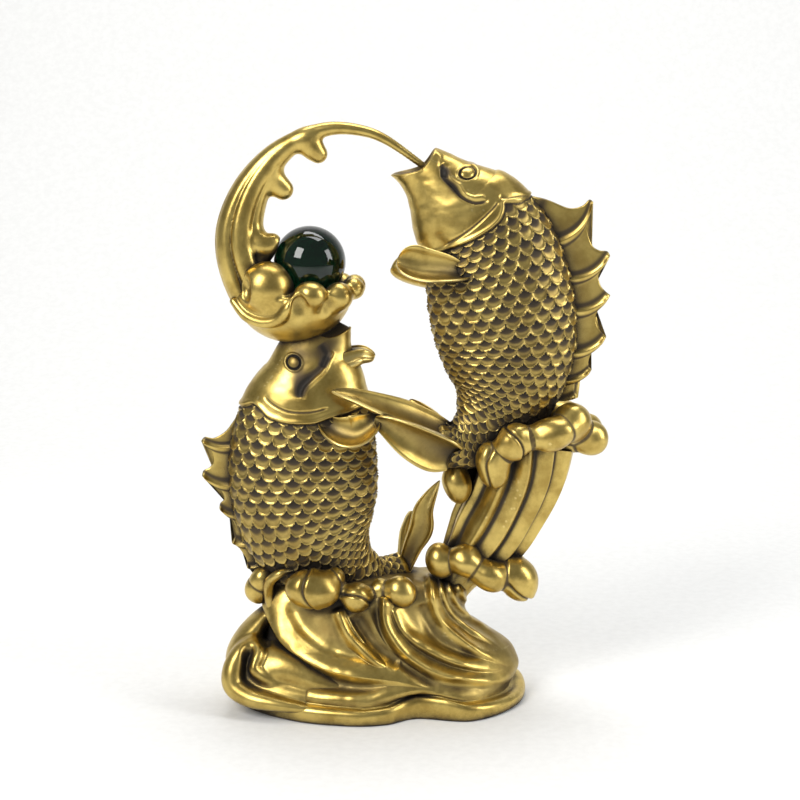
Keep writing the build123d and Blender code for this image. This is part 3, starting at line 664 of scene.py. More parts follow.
def carve_carp(name, rows, back_side, marks, extra=()):
    """Cut scales, gill cover, jaw lines and eyes into a carp's body."""
    grid, places, angles = sweep(rows, CARP_ROWS, CARP_COLUMNS, AWAY * back_side, WIDE_TO_THICK)
    grid = flare_lips(grid, places, angles, *marks["lips"])
    flat = grid[..., [0, 2]]
    gill = project(grid, marks["gill"])
    gill[0] = gill[1] + GILL_RUN_ON * (gill[1] - gill[2])
    gill[-1] = gill[-2] + GILL_RUN_ON * (gill[-2] - gill[-3])
    gap, side, _ = from_line(flat, gill)
    behind = gap * side * back_side
    scaled = ease((behind - 0.1) / 0.5)
    cover = 1 - ease((behind + 0.5) / 0.7)
    relief, recess = scales(grid)
    lift = scaled * relief + cover * COVER_HEIGHT + bell(behind + 0.9, 0.8) * COVER_EDGE_HEIGHT
    tone = scaled * recess * SCALE_FLOOR_TONE + bell(behind - 0.35, 0.35) * COVER_EDGE_TONE
    for path, width, rise, stain in marks["lines"]:
        mark = raised(flat, project(grid, path), width) * cover
        lift = lift + rise * mark
        tone = tone + stain * mark
    eye_place, eye_size, eye_stretch = marks["eye"]
    from_eye = (flat - project(grid, [eye_place])[0]) * [1.0, eye_stretch]
    eye_lift, eye_tone = eye_relief(np.linalg.norm(from_eye, axis=-1), eye_size)
    lift = lift + cover * eye_lift
    tone = tone + cover * eye_tone
    for place, reach in marks["stains"]:
        from_stain = np.linalg.norm(flat - project(grid, [place])[0], axis=-1)
        tone = tone + STAIN_TONE * bell(from_stain, reach) * cover
    lift = lift + HEAD_GRAIN_HEIGHT * grain(grid, HEAD_GRAIN, 5) * cover
    carved_grid = grid + outward(grid) * lift[..., None]
    shell = carp_shell(carved_grid, marks["mouth_depth"], marks["lip_thickness"], np.clip(tone, 0, 1))
    piece(name, [shell, *extra])


print("bodies have", CARP_ROWS, "rows of", CARP_COLUMNS, "points")

# %% [markdown]
# The upper carp is bent like a bow, its open mouth to the left. The table gives, from mouth to tail,
# the middle of the body and half its depth and half its thickness. A drawn line stands up or sinks,
# and may be stained: after its places come its width, its height and its stain. The lips say how
# many rows they take up, then how far belly lip and back lip reach forward, and how far they flare.

# %% Upper carp's body
upper_rows = [
    (8.2, 0.0, 229.8, 9.2, 7.0),
    (10.6, 0.0, 227.0, 11.2, 8.2),
    (15.2, 0.0, 221.4, 15.0, 10.4),
    (22.2, 0.0, 213.1, 21.3, 13.5),
    (30.6, 0.0, 204.4, 25.2, 15.7),
    (36.9, 0.0, 191.3, 28.2, 17.5),
    (41.0, 0.0, 171.4, 30.0, 18.5),
    (43.5, 0.0, 151.7, 27.9, 17.0),
    (41.6, -1.5, 133.0, 21.6, 13.5),
    (33.5, -4.4, 119.4, 15.0, 10.0),
    (23.0, -8.1, 113.4, 10.5, 7.2),
    (15.0, -11.8, 114.6, 8.1, 5.2),
]
upper_marks = {
    "lips": (1.6, 6.6, 2.4, 2.2, -1.0),
    "mouth_depth": 9.0,
    "lip_thickness": 0.14,
    "eye": ((463, 176), 4.2, 1.5),
    "gill": [
        (536, 190), (525, 196), (512, 203), (500, 204), (499, 210), (495, 220),
        (486, 230), (468, 240), (447, 248), (424, 250), (405, 246),
    ],
    "stains": [((443, 175), 3.0), ((450, 190), 3.5)],
    "lines": [
        ([(493, 203), (484, 214), (466, 230), (441, 245)], 0.55, -0.55, 0.55),
        ([(439, 168), (439, 179), (449, 189), (458, 199), (471, 205), (484, 202)], 0.75, -0.75, 0.70),
        ([(443, 168), (446, 180), (455, 188), (461, 196), (470, 200), (482, 198)], 0.8, 0.55, 0.0),
        ([(437, 167), (441, 174), (440, 180)], 1.2, -0.6, 0.55),
        ([(527, 194), (512, 198), (500, 200), (494, 198)], 0.6, -0.5, 0.45),
        ([(432, 150), (436, 160), (437, 170)], 0.9, 0.35, 0.0),
    ],
}
carve_carp("upper_carp_body", upper_rows, 1, upper_marks)

# %% [markdown]
# The lower carp stands nearly upright with its back to the left, and carries the cup on its mouth.
# Its lower lip is a leaf of its own that juts out to the right.

# %% Lower carp's body
lower_rows = [
    (-33.4, 0.0, 159.4, 10.0, 7.0),
    (-36.6, 0.0, 151.6, 15.6, 10.4),
    (-37.9, 0.0, 142.1, 20.8, 13.7),
    (-40.0, 0.0, 130.1, 26.7, 16.7),
    (-42.6, 0.0, 112.8, 30.2, 18.5),
    (-43.0, 0.0, 95.6, 31.0, 19.0),
    (-41.3, 0.0, 78.3, 28.8, 17.9),
    (-35.0, 0.8, 63.2, 23.9, 15.2),
    (-23.7, 2.3, 52.4, 17.1, 11.4),
    (-10.8, 4.6, 49.0, 12.1, 8.0),
    (0.0, 6.8, 53.3, 8.7, 5.5),
]
lower_marks = {
    "lips": (1.3, 7.0, 0.6, -2.2, 0.0),
    "mouth_depth": -3.0,
    "lip_thickness": 0.08,
    "eye": ((293, 359), 3.4, 1.0),
    "gill": [
        (232, 398), (242, 402), (251, 400), (258, 404), (267, 413), (281, 418),
        (295, 420), (313, 419), (327, 414), (346, 408), (366, 404),
    ],
    "stains": [((298, 350), 5.0), ((298, 372), 5.0), ((300, 386), 4.0), ((318, 350), 4.5), ((330, 338), 5.0)],
    "lines": [
        ([(264, 392), (272, 400), (288, 407), (309, 408), (328, 403)], 0.55, -0.55, 0.55),
        ([(330, 346), (326, 356), (322, 367), (311, 378), (304, 386), (302, 396)], 0.85, 0.95, 0.0),
        ([(325, 352), (319, 364), (308, 374), (299, 384), (298, 394)], 1.6, -0.55, 0.65),
        ([(318, 340), (324, 352), (320, 364)], 1.4, -0.3, 0.45),
    ],
}
lower_lip = leaf(
    [(336, 355, 0), (348, 351, 0), (360, 349, 0), (372, 353, 0)],
    [8.4, 7.4, 5.4, 2.6], (0.10, 0.0, 1.0), -0.25, 4.2, 0.35,
)
carve_carp("lower_carp_body", lower_rows, -1, lower_marks, [lower_lip])

# %% [markdown]
# ## Fins
# A dorsal fin is a web stretched between bent rays. Its grid runs from the back out to an edge that
# is drawn as tips with hollows between them, and the rays stand up as ribs on both faces.

# %% Dorsal fins
SAIL_ROWS = 90
SAIL_STEPS = 40
SAIL_THICKNESS = 2.0
RIB_HEIGHT = 1.15
RIB_END_HEIGHT = 0.9


def sail(name, roots, edges, bend):
    """Make a webbed fin from root places and, bay by bay, the edge between two rays."""
    bays = len(edges)
    outer, inner, ray_place = [], [], []
    for bay, places in enumerate(edges):
        shares = np.linspace(0, 1, SAIL_STEPS, endpoint=bay == bays - 1)
        outer.append(smooth(line(*places), shares * (len(places) - 1)))
        inner.append(smooth(line(*roots), bay + shares))
        ray_place.append(bay + shares)
    outer, inner, ray_place = (np.concatenate(bay_parts) for bay_parts in (outer, inner, ray_place))
    out = np.linspace(0, 1, SAIL_ROWS)[:, None]
    depth = out[..., None]
    reach = outer - inner
    droop = unit(np.cross(reach, AWAY)) * np.linalg.norm(reach, axis=-1, keepdims=True) * bend
    sheet = inner * (1 - depth) + outer * depth + droop * (4 * depth * (1 - depth))
    off_ray = ray_place - np.round(ray_place)
    to_ray = np.abs(off_ray)
    rib = np.where(off_ray > 0, bell(to_ray, 0.15), bell(to_ray, 0.06))
    half = SAIL_THICKNESS * (0.46 - 0.26 * out) + RIB_HEIGHT * rib * (1 - 0.45 * out)
    half = half + RIB_END_HEIGHT * bell(to_ray, 0.10) * bell(out - 0.93, 0.08)
    rim = ease((1 - out) / 0.05) * ease(np.minimum(ray_place, bays - ray_place) / 0.06)
    half = AWAY * (half * (0.12 + 0.88 * np.sqrt(rim)))[..., None]
    web_tone = (1 - rib) * (0.40 - 0.20 * out) + 0.35 * bell(to_ray - 0.16, 0.06)
    loop = np.concatenate([sheet - half, (sheet + half)[:, ::-1]], axis=1)
    piece(name, [skin(loop, np.concatenate([web_tone, web_tone[:, ::-1]], axis=1))])


sail(
    "upper_carp_dorsal_fin",
    [(520, 206), (548, 240), (556, 274), (558, 304), (556, 346), (547, 372), (541, 388)],
    [
        [(526, 194), (543, 198), (564, 206), (577, 204), (584, 198), (588, 200)],
        [(588, 200), (586, 206), (583, 215), (583, 228), (588, 242), (595, 247), (603, 248), (606, 252)],
        [(606, 252), (604, 257), (599, 263), (595, 272), (597, 281), (602, 287), (607, 291)],
        [(607, 291), (604, 297), (598, 302), (593, 312), (595, 322), (600, 328), (604, 332)],
        [(604, 332), (601, 338), (595, 341), (590, 348), (587, 356), (587, 361), (590, 365)],
        [(590, 365), (587, 370), (580, 371), (574, 377), (573, 385), (577, 393)],
    ],
    -0.17,
)
sail(
    "lower_carp_dorsal_fin",
    [(252, 408), (238, 438), (236, 480), (240, 512), (246, 540), (256, 562), (264, 580)],
    [
        [(243, 402), (232, 413), (221, 427), (209, 434), (200, 433), (196, 437)],
        [(196, 437), (200, 442), (206, 448), (208, 457), (204, 464), (198, 467), (196, 472)],
        [(196, 472), (200, 477), (208, 480), (215, 487), (218, 496), (214, 501), (213, 506)],
        [(213, 506), (217, 511), (223, 514), (228, 522), (229, 532), (225, 541)],
        [(225, 541), (232, 547), (237, 554), (240, 560), (240, 567)],
        [(240, 567), (244, 571), (248, 578), (250, 582), (250, 587)],
    ],
    0.15,
)

# %% [markdown]
# The pectoral fins stand off the flanks like cupped ears, with their hollows to the front. The far
# one of each pair is the near one seen in a mirror. A tail fin is a fan of leaves. Each leaf names
# its places, its half widths, the way it faces, its cup, and its thickness and blunt tip if special.

# %% Pectoral fins
upper_pectoral = leaf(
    [(464, 273, -12), (444, 271, -18), (419, 269, -23), (394, 262, -25)],
    [2.6, 6.0, 7.8, 7.2], (0.08, -0.80, 0.60), 0.80, 1.7, 0.22,
)
lower_pectoral = leaf(
    [(319, 416, -13), (333, 427, -19), (350, 431, -22), (365, 423, -21), (376, 411, -18)],
    [2.4, 5.8, 7.6, 6.2, 1.8], (0.0, -0.75, 0.66), 0.75, 1.7, 0.10,
)
piece("upper_carp_near_pectoral_fin", [upper_pectoral])
piece("upper_carp_far_pectoral_fin", [mirrored(upper_pectoral, (-2.6, -2.0, -11.0))])
piece("lower_carp_near_pectoral_fin", [lower_pectoral])
piece("lower_carp_far_pectoral_fin", [mirrored(lower_pectoral)])

# %% Tail fins
upper_tail = [
    leaf(
        [(448, 432, -9), (430, 423, -13), (404, 411, -17), (378, 401, -19), (352, 392, -20), (330, 387, -20)],
        [5.0, 6.6, 6.6, 5.2, 3.2, 0.9], (-0.10, -0.60, 0.80), 0.30, 2.2,
    ),
    leaf(
        [(449, 448, -17), (434, 443, -20), (411, 432, -23), (388, 420, -23), (373, 413, -22)],
        [7.0, 9.4, 8.6, 5.4, 2.4], (0.0, -0.93, -0.36), 0.70, 2.0,
    ),
    leaf(
        [(450, 438, -10), (428, 428, -3), (400, 416, 4), (372, 406, 8)],
        [3.4, 6.0, 6.6, 2.0], (0.05, 0.80, -0.60), -0.45,
    ),
    leaf(
        [(450, 434, -10), (430, 418, -4), (414, 404, 2), (407, 396, 5)],
        [2.8, 4.4, 3.2, 0.9], (0.1, -0.9, 0.3), 0.4,
    ),
]
lower_tail = [
    leaf(
        [(401, 574, 6), (411, 547, 5), (420, 527, 4), (423, 506, 4), (438, 478, 5)],
        [3.0, 4.2, 5.4, 4.2, 0.9], (-0.25, -0.95, 0.1), 0.35,
    ),
    leaf(
        [(402, 576, 8), (404, 556, 14), (407, 535, 20), (409, 512, 24)],
        [2.6, 3.8, 4.4, 1.0], (-0.6, 0.75, 0.1), 0.35,
    ),
]
piece("upper_carp_tail_fin", upper_tail)
piece("lower_carp_tail_fin", lower_tail)

# %% [markdown]
# ## Clay for foam, cup and spray
# Foam is a row of beads that melt into each other. The quickest clay for that is a block of small
# cells, each holding its distance to the surface: two shapes join softly when the smaller distance
# is taken with a little blending. OpenVDB, which ships with Blender, then turns the block into a mesh.

# %% A block of clay
CELL = 0.5
FAR_OFF = 20.0
ROPE_STEPS = 14


def egg(rest, sizes):
    """Distance from an egg's surface, for places counted from its middle."""
    return (np.sqrt(((rest / np.array(sizes)) ** 2).sum(axis=-1)) - 1) * min(sizes)


def nearest_row(cells, spine, sizes):
    """Number of the row of a path, thick or thin, that each cell is nearest to."""
    best = np.full(len(cells), np.inf)
    nearest = np.zeros(len(cells), dtype=int)
    for index, point in enumerate(spine):
        gap = ((cells - point) ** 2).sum(axis=1) - sizes[index] ** 2
        nearer = gap < best
        best[nearer] = gap[nearer]
        nearest[nearer] = index
    return nearest


def angle_round(centres, nearest, rest, flat):
    """Angle of each cell round its row of the path."""
    ways = unit(np.gradient(centres, axis=0))[nearest]
    sides = unit(np.cross(AWAY, ways))
    return np.arctan2(rest[:, 1] * flat, (rest * sides).sum(axis=1))


class Clay:
    """A block of cells that hold the distance to a surface, in millimetres."""

    def __init__(self, low, high):
        self.low = np.array(low, dtype=float)
        self.shape = np.ceil((np.array(high) - self.low) / CELL).astype(int) + 1
        self.field = np.full(self.shape, FAR_OFF)
        axes = [self.low[axis] + np.arange(self.shape[axis]) * CELL for axis in range(3)]
        self.places = np.stack(np.meshgrid(*axes, indexing="ij"), axis=-1)

    def window(self, low, high):
        """Slices that hold a box, so that far cells aren't worked on."""
        start = np.clip(np.floor((low - self.low) / CELL).astype(int), 0, self.shape)
        stop = np.clip(np.ceil((high - self.low) / CELL).astype(int) + 1, 0, self.shape)
        return tuple(slice(a, b) for a, b in zip(start, stop))

    def join(self, part, distance, blend):
        """Add a shape softly."""
        here = self.field[part]
        share = np.clip(0.5 + 0.5 * (here - distance) / blend, 0, 1)
        self.field[part] = here * (1 - share) + distance * share - blend * share * (1 - share)

    def add_bead(self, centre, sizes, tilt, blend):
        """Add an egg-shaped bead, tilted in the front view."""
        reach = max(sizes) + 4 * blend
        part = self.window(centre - reach, centre + reach)
        rest = self.places[part] - centre
        turn = math.radians(tilt)
        along = rest[..., 0] * math.cos(turn) + rest[..., 2] * math.sin(turn)
        up = rest[..., 2] * math.cos(turn) - rest[..., 0] * math.sin(turn)
        self.join(part, egg(np.stack([along, rest[..., 1], up], axis=-1), sizes), blend)

    def add_rope(self, path, radii, flat, blend, flutes=None):
        """Add a rope of changing thickness along a path, fluted if asked."""
        rows = len(path) - 1
        places = np.linspace(0, rows, rows * ROPE_STEPS + 1)
        centres = smooth(path, places)
        sizes = smooth(radii, places)
        reach = sizes.max() + 3 * blend
        part = self.window(centres.min(axis=0) - reach, centres.max(axis=0) + reach)
        cells = self.places[part].reshape(-1, 3)
        squash = np.array([1.0, flat, 1.0])
        nearest = nearest_row(cells * squash, centres * squash, sizes)
        rest = cells - centres[nearest]
        distance = np.linalg.norm(rest * squash, axis=1) - sizes[nearest]
        if flutes:
            angle = angle_round(centres, nearest, rest, flat)
            distance = distance - flutes(places[nearest] / rows, angle) * sizes[nearest]
        self.join(part, distance.reshape(self.places[part].shape[:-1]), blend)

    def cut(self, distance, blend):
        """Take a shape away softly; distance is negative inside the shape."""
        here = self.field
        share = np.clip(0.5 - 0.5 * (here + distance) / blend, 0, 1)
        self.field = here * (1 - share) - distance * share + blend * share * (1 - share)

    def cut_egg(self, centre, sizes, blend):
        """Press an egg-shaped hollow into the clay."""
        self.cut(egg(self.places - centre, sizes), blend)

    def shell(self, even_tone=0.0, tone=None):
        """Turn the clay into a closed shell, with one tone or with a tone for each point."""
        grid = openvdb.FloatGrid()
        grid.background = FAR_OFF
        grid.copyFromArray(self.field.astype(np.float32))
        points, tris, quads = grid.convertToPolygons(isovalue=0.0, adaptivity=0.0)
        points = points * CELL + self.low
        tones = tone(points) if tone else np.full(len(points), even_tone)
        return points, quads.astype(int), tris.astype(int), np.clip(tones, 0, 1)


print("clay cells are", CELL, "mm wide")

# %% [markdown]
# ## Foam along the crest and round the column
# Each bead is given by its middle on the drawing and its depth, its three half sizes, its lean, and
# the way that its crease faces if it has one. Beads differ in size and lean, because a neat row of
# equal balls would look like a necklace and not like water.

# %% Foam beads
FOAM_BLEND = 3.2
FOAM_MARGIN = 3
FOAM_GRAIN = 26.0
CREASE_PLACE = 0.46
CREASE_BEND = 0.45
CREASE_WIDTH = 0.09
CREASE_DEPTH = 0.85
CREASE_TONE = 0.55
SEAM_DEPTH = 0.25
FOLD_BESIDE_CREASE = 0.35
FOAM_GRAIN_HEIGHT = 0.7


def creased(shell, centres, sizes, creases):
    """Press a curved crease across each bead that has one, and darken the seams between beads."""
    points, quads, tris, tones = shell
    gap = np.linalg.norm(points[:, None] - centres, axis=-1) / sizes
    nearest = gap.argmin(axis=1)
    two = np.partition(gap, 1, axis=1)
    seam = bell(two[:, 1] - two[:, 0], 0.14)
    rest = unit(points - centres[nearest])
    turn = np.radians([crease or 0.0 for crease in creases])[nearest]
    shown = np.array([crease is not None for crease in creases])[nearest] * (1 - seam)
    across = rest[:, 0] * np.cos(turn) + rest[:, 2] * np.sin(turn)
    along = rest[:, 2] * np.cos(turn) - rest[:, 0] * np.sin(turn)
    from_crease = across + CREASE_BEND * (along + 0.2) ** 2 - CREASE_PLACE
    groove = bell(from_crease, CREASE_WIDTH) * shown
    fold = bell(from_crease + 2.2 * CREASE_WIDTH, 1.6 * CREASE_WIDTH) * shown
    uneven = FOAM_GRAIN_HEIGHT * grain(points, FOAM_GRAIN, 21)
    lift = uneven + FOLD_BESIDE_CREASE * fold - CREASE_DEPTH * groove - SEAM_DEPTH * seam
    tones = np.clip(tones + CREASE_TONE * groove + CREASE_TONE * seam, 0, 1)
    return points + rest * lift[:, None], quads, tris, tones


def foam(name, beads):
    """Make one row of foam beads."""
    centres = np.array([at(*bead[:3]) for bead in beads])
    sizes = np.array([bead[3:6] for bead in beads])
    reach = sizes.max() + FOAM_MARGIN
    clay = Clay(centres.min(axis=0) - reach, centres.max(axis=0) + reach)
    for centre, radii, bead in zip(centres, sizes, beads):
        clay.add_bead(centre, radii, bead[6], FOAM_BLEND)
    creases = [bead[7] for bead in beads]
    piece(name, [creased(clay.shell(), centres, sizes.mean(axis=1), creases)])


foam("front_crest_foam", [
    (251, 590, -3, 5.0, 6.5, 6.2, 20, None),
    (257, 579, -5, 4.6, 5.5, 5.4, 0, None),
    (310, 585, -21, 11.8, 9.0, 8.6, -6, 180),
    (333, 574, -17, 3.5, 4.5, 4.4, 25, None),
    (354, 595, -20, 6.4, 7.0, 7.0, -15, 60),
    (377, 588, -15, 4.2, 5.4, 5.2, 0, None),
    (398, 589, -18, 7.0, 6.8, 6.6, -38, None),
])
foam("rear_crest_foam", [
    (258, 579, 9, 5.6, 6.5, 7.0, 15, None),
    (290, 573, 16, 10.0, 7.5, 8.4, 0, 20),
    (322, 571, 19, 8.4, 7.4, 7.6, 20, 160),
    (350, 573, 19, 7.4, 7.0, 6.8, -10, None),
    (376, 576, 17, 6.4, 6.2, 6.6, 10, 40),
])
foam("lower_foam_collar", [
    (438, 559, -8, 6.2, 7.0, 8.0, 10, None),
    (464, 558, -11, 7.4, 7.6, 7.2, -10, None),
    (487, 573, -12, 9.2, 7.6, 6.8, -28, None),
    (517, 576, -7, 8.4, 8.6, 11.0, 32, 200),
    (514, 573, 7, 7.8, 8.2, 9.0, 20, None),
    (487, 566, 12, 8.4, 7.8, 7.8, 0, None),
    (455, 560, 10, 7.4, 7.2, 7.4, 0, None),
])
foam("upper_foam_collar", [
    (455, 479, -9, 6.4, 6.6, 9.4, 8, None),
    (490, 460, -17, 7.3, 7.2, 10.2, 12, 165),
    (511, 438, -20, 7.4, 6.8, 8.6, -32, 20),
    (546, 430, -18, 11.4, 7.4, 7.0, 12, None),
    (569, 418, -11, 8.6, 8.0, 8.8, -10, None),
    (588, 433, -5, 8.0, 7.2, 7.4, -20, None),
    (567, 431, 0, 9.5, 10.0, 7.5, 0, None),
    (588, 428, 7, 7.6, 7.6, 8.0, 0, None),
    (562, 414, 13, 9.6, 7.8, 8.2, 0, None),
    (528, 422, 18, 9.8, 7.4, 7.6, 10, None),
    (493, 441, 16, 9.0, 7.2, 8.6, 0, 30),
    (462, 466, 4, 6.8, 7.0, 8.6, 0, None),
])

# %% [markdown]
# ## Column of water
# The column is a sweep that leans up to the right. Folds run up it like those of a cloth: each
# swells slowly on one side and drops steeply into a dark line on the other. They turn a little on
# the way, as water does when it is drawn up, and start above the collar at the foot.

# %% Column
COLUMN_ROWS = 320
COLUMN_COLUMNS = 420
FOLDS_ROUND = 5.5
FOLD_TURN = 1.4
FOLD_HEIGHT = 3.0
FOLD_SINK = 1.6
FOLD_START = 0.36
FOLD_TONE = 0.70
column_rows = [
    (19.0, 0, 36.0, 8.0, 7.0),
    (19.0, 0, 41.0, 7.4, 7.0),
    (20.0, 0, 47.0, 7.8, 7.4),
    (25.2, 0, 57.0, 10.6, 9.0),
    (35.5, 0, 71.4, 16.6, 12.8),
    (43.6, 0, 85.9, 18.0, 15.0),
    (49.6, 0, 100.3, 19.2, 16.0),
    (52.0, 0, 114.0, 20.0, 15.8),
]
column_grid, column_places, column_angles = sweep(column_rows, COLUMN_ROWS, COLUMN_COLUMNS)
rise = (column_places / column_places[-1])[:, None]
fold_sway = 0.5 * np.sin(column_angles[None] * 2 + 3 * rise)
fold_angle = column_angles[None] * FOLDS_ROUND + FOLD_TURN * rise + fold_sway
fold = np.mod(fold_angle / math.pi, 1.0)
fold_height = FOLD_HEIGHT * ease(fold / 0.8) * ease((1 - fold) / 0.24)
fold_height = fold_height + 0.35 * bell(fold - 0.72, 0.07) - FOLD_SINK
fold_fade = ease((rise - FOLD_START) / 0.14)
column_lift = fold_height * (0.45 + 0.55 * rise) * fold_fade
column_tone = FOLD_TONE * (bell(1 - fold, 0.06) + bell(fold, 0.14)) * fold_fade + 0.25 * (1 - rise)
piece("wave_column", [skin(column_grid + outward(column_grid) * column_lift[..., None], column_tone)])

# %% [markdown]
# ## Cup and crescent of spray
# The cup is a bowl of clay with a round seat cut for the ball, foam beads on its rim and one big
# rolled bead at the left. The crescent grows out of it: thick and fluted at the left, thin as a
# wire where it enters the carp's mouth, with three drips hanging inside. The way by which the ball
# leaves its seat is cut from both, so that it never touches them.

# %% Cup
BALL_CENTRE = np.array([-39.36, 0.0, 190.4])
BALL_RADIUS = 15.0
SEAT_GAP = 0.3
LIFT_WAY = np.array([0.351, -0.662, 0.662])
LIFT_CLEAR = 40.0
BOWL_CENTRE = np.array([-46.6, 0.0, 179.6])
BOWL_SIZES = (25.2, 22.0, 23.2)
BOWL_RIM = -0.5
RIM_BLEND = 2.6
RIM_ROUND = 2.5
ROLL_BLEND = 0.9
CUP_FOLD_BLEND = 1.2
SEAT_EDGE = 0.5


def ball_way(places):
    """Distance to the room that the ball needs, at rest and on its way out."""
    rest = places - BALL_CENTRE
    along = np.clip(rest @ LIFT_WAY, 0.0, LIFT_CLEAR)
    return np.linalg.norm(rest - along[..., None] * LIFT_WAY, axis=-1) - (BALL_RADIUS + SEAT_GAP)


def seat_painted_shade(points):
    """Paint shade on the seat, where it lies under the ball."""
    return 0.35 * bell(np.linalg.norm(points - BALL_CENTRE, axis=-1) - BALL_RADIUS, 1.2)


cup_clay = Clay(BALL_CENTRE + [-37, -27, -36], BALL_CENTRE + [26, 27, 8])
cup_clay.field = egg(cup_clay.places - BOWL_CENTRE, BOWL_SIZES)
cup_clay.cut(BOWL_RIM - (cup_clay.places - BOWL_CENTRE)[..., 2], RIM_ROUND)
rim_beads = [
    (310, 294, -18, 7.0, 6.0, 6.0),
    (337, 294, -12, 6.0, 5.6, 6.0),
    (352, 285, -5, 4.4, 5.0, 4.6),
    (352, 281, 6, 4.6, 5.2, 4.8),
    (338, 279, 14, 5.4, 5.2, 5.2),
    (314, 276, 18, 6.0, 5.6, 5.6),
    (288, 276, 17, 6.0, 5.6, 5.6),
]
for bead in rim_beads:
    cup_clay.add_bead(at(*bead[:3]), bead[3:], 0, RIM_BLEND)
cup_clay.add_bead(at(267.5, 285.5, -12), (11.0, 10.0, 11.0), 0, ROLL_BLEND)
cup_clay.cut_egg(at(245, 287, -17), (3.6, 6.0, 6.4), 0.8)
cup_clay.add_rope(
    line(
        (233, 298, -9), (246, 313, -13), (263, 320, -17),
        (279, 317, -19.5), (289, 306, -21.5), (297, 294, -21),
    ),
    [1.6, 2.2, 2.4, 2.4, 2.2, 1.6],
    1.0,
    CUP_FOLD_BLEND,
)
cup_clay.cut_egg(at(300, 305, -21.5), (3.4, 2.2, 4.2), RIM_BLEND)
cup_clay.cut_egg(at(326, 306, -18), (2.4, 2.0, 3.2), RIM_BLEND)
cup_clay.cut(ball_way(cup_clay.places), SEAT_EDGE)
# The cup's tone is painted shade on the seat under the ball.
piece("spray_cup", [cup_clay.shell(tone=seat_painted_shade)])

# %% [markdown]
# The crescent is a rope of clay on a bent path. Flutes along its thick part look like streams of
# water, and they fade out where it gets thin.

# %% Crescent
SPRAY_FLAT = 0.95
SPRAY_FLUTE_DEPTH = 0.24
SPRAY_FLUTE_FLOOR = 0.149
SPRAY_TONE_STEPS = 300
spray_path = np.array(
    [
        (-47.7, 0, 163.4),
        (-58.6, 0, 172.5),
        (-66.1, 0, 187.5),
        (-68.5, 0, 202.6),
        (-64.2, 0, 218.4),
        (-55.4, 0, 231.8),
        (-44.4, 0, 240.7),
        (-31.7, 0, 245.5),
        (-19.1, 0, 245.2),
        (-7.2, 0, 241.0),
        (9.6, 0, 229.2),
    ]
)
spray_sizes = [6.8, 10.2, 10.4, 9.5, 7.9, 5.9, 4.0, 2.9, 2.35, 1.95, 1.4]
spray_drips = [
    ([(306, 143, 0), (312, 149, 0), (317, 154, 0)], [5.2, 4.8, 3.9], 1.15, 3.0),
    ([(268, 174, 0), (275, 182, 0), (282, 188, 0)], [5.8, 5.2, 4.4], 1.15, 3.0),
    ([(250, 234, -3), (262, 243, -5), (272, 240, -5)], [6.0, 5.2, 3.6], 1.1, 2.0),
    ([(268, 242, -5), (264, 253, -5), (258, 262, -5)], [4.2, 3.2, 1.4], 1.1, 1.4),
]


def spray_flutes(run, angle):
    """Ribs along the thick part of the crescent, as shares of its size."""
    strength = SPRAY_FLUTE_DEPTH * ease((0.62 - run) / 0.45)
    return strength * (1 - (1 - np.abs(np.cos(angle * 3.0 + 1.6 * run + 0.6))) ** 2 - 0.62)


def spray_tone(points):
    """Darken the grooves between the ribs of the crescent."""
    places = np.linspace(0, len(spray_path) - 1, SPRAY_TONE_STEPS)
    centres = smooth(spray_path, places)
    nearest = nearest_row(points, centres, np.zeros(SPRAY_TONE_STEPS))
    rest = points - centres[nearest]
    angle = angle_round(centres, nearest, rest, SPRAY_FLAT)
    depth = -spray_flutes(nearest / (SPRAY_TONE_STEPS - 1), angle) / SPRAY_FLUTE_FLOOR
    inside = 1.25 * smooth(spray_sizes, places)[nearest] - np.linalg.norm(rest, axis=1)
    return 0.55 * ease(depth - 0.25) * ease(inside)


spray_clay = Clay((-82, -14, 156), (12, 14, 251))
spray_clay.add_rope(spray_path, spray_sizes, SPRAY_FLAT, 1.0, spray_flutes)
for places, radii, flat, blend in spray_drips:
    spray_clay.add_rope(line(*places), radii, flat, blend)
spray_clay.cut(ball_way(spray_clay.places), SEAT_EDGE)
piece("spray_arch", [spray_clay.shell(tone=spray_tone)])

# %% [markdown]
# ## Foot and rolling waves
# The base is a dome of rings. Its rings run from the hollow underneath, round the lip of the foot
# and up the mound. The waves are drawn lines laid on its near side, and turned half round for its
# far side, and each stands up as a ridge with a hollow beside it. A row of the foot holds a height
# and a share of its outline. A row of the mound holds its height, left end, right end, half depth.

# %% Base rings
BASE_COLUMNS = 900
FOOT_RINGS = 90
MOUND_RINGS = 280
FOOT_CENTRE = np.array([-11.0, 0.0, 0.0])
FOOT_HALF_LENGTH = 64.0
FOOT_HALF_DEPTH = 41.0
LIP_HEIGHT = 8.1
APRON_SHARE = 0.90
APRON_ROWS = 1.8
LIP_FROM_ROW = 5.0
SIDES_BLEND = 24.0
LIP_PLACES = [-64, -52, -6, 5, 17, 30, 40, 55, 64]
LIP_TOPS = [7.4, 8.0, 6.8, 7.4, 10.0, 9.4, 7.6, 6.4, 5.6]
foot_outline = [
    (64.0, 0.8), (57.6, 19.7), (33.3, 35.3), (3.2, 41.0), (-25.6, 34.4),
    (-51.2, 27.1), (-64.0, 2.1), (-57.0, -19.0), (-36.0, -35.0), (-12.0, -41.0),
    (3.5, -39.5), (17.0, -32.5), (40.0, -35.2), (58.0, -20.0),
]
closed_outline = foot_outline[-2:] + foot_outline + foot_outline[:3]
outline_places = np.linspace(2, 2 + len(foot_outline), BASE_COLUMNS, endpoint=False)
foot_line = smooth(closed_outline, outline_places)
foot_angle = np.arctan2(foot_line[:, 1] / FOOT_HALF_DEPTH, foot_line[:, 0] / FOOT_HALF_LENGTH)
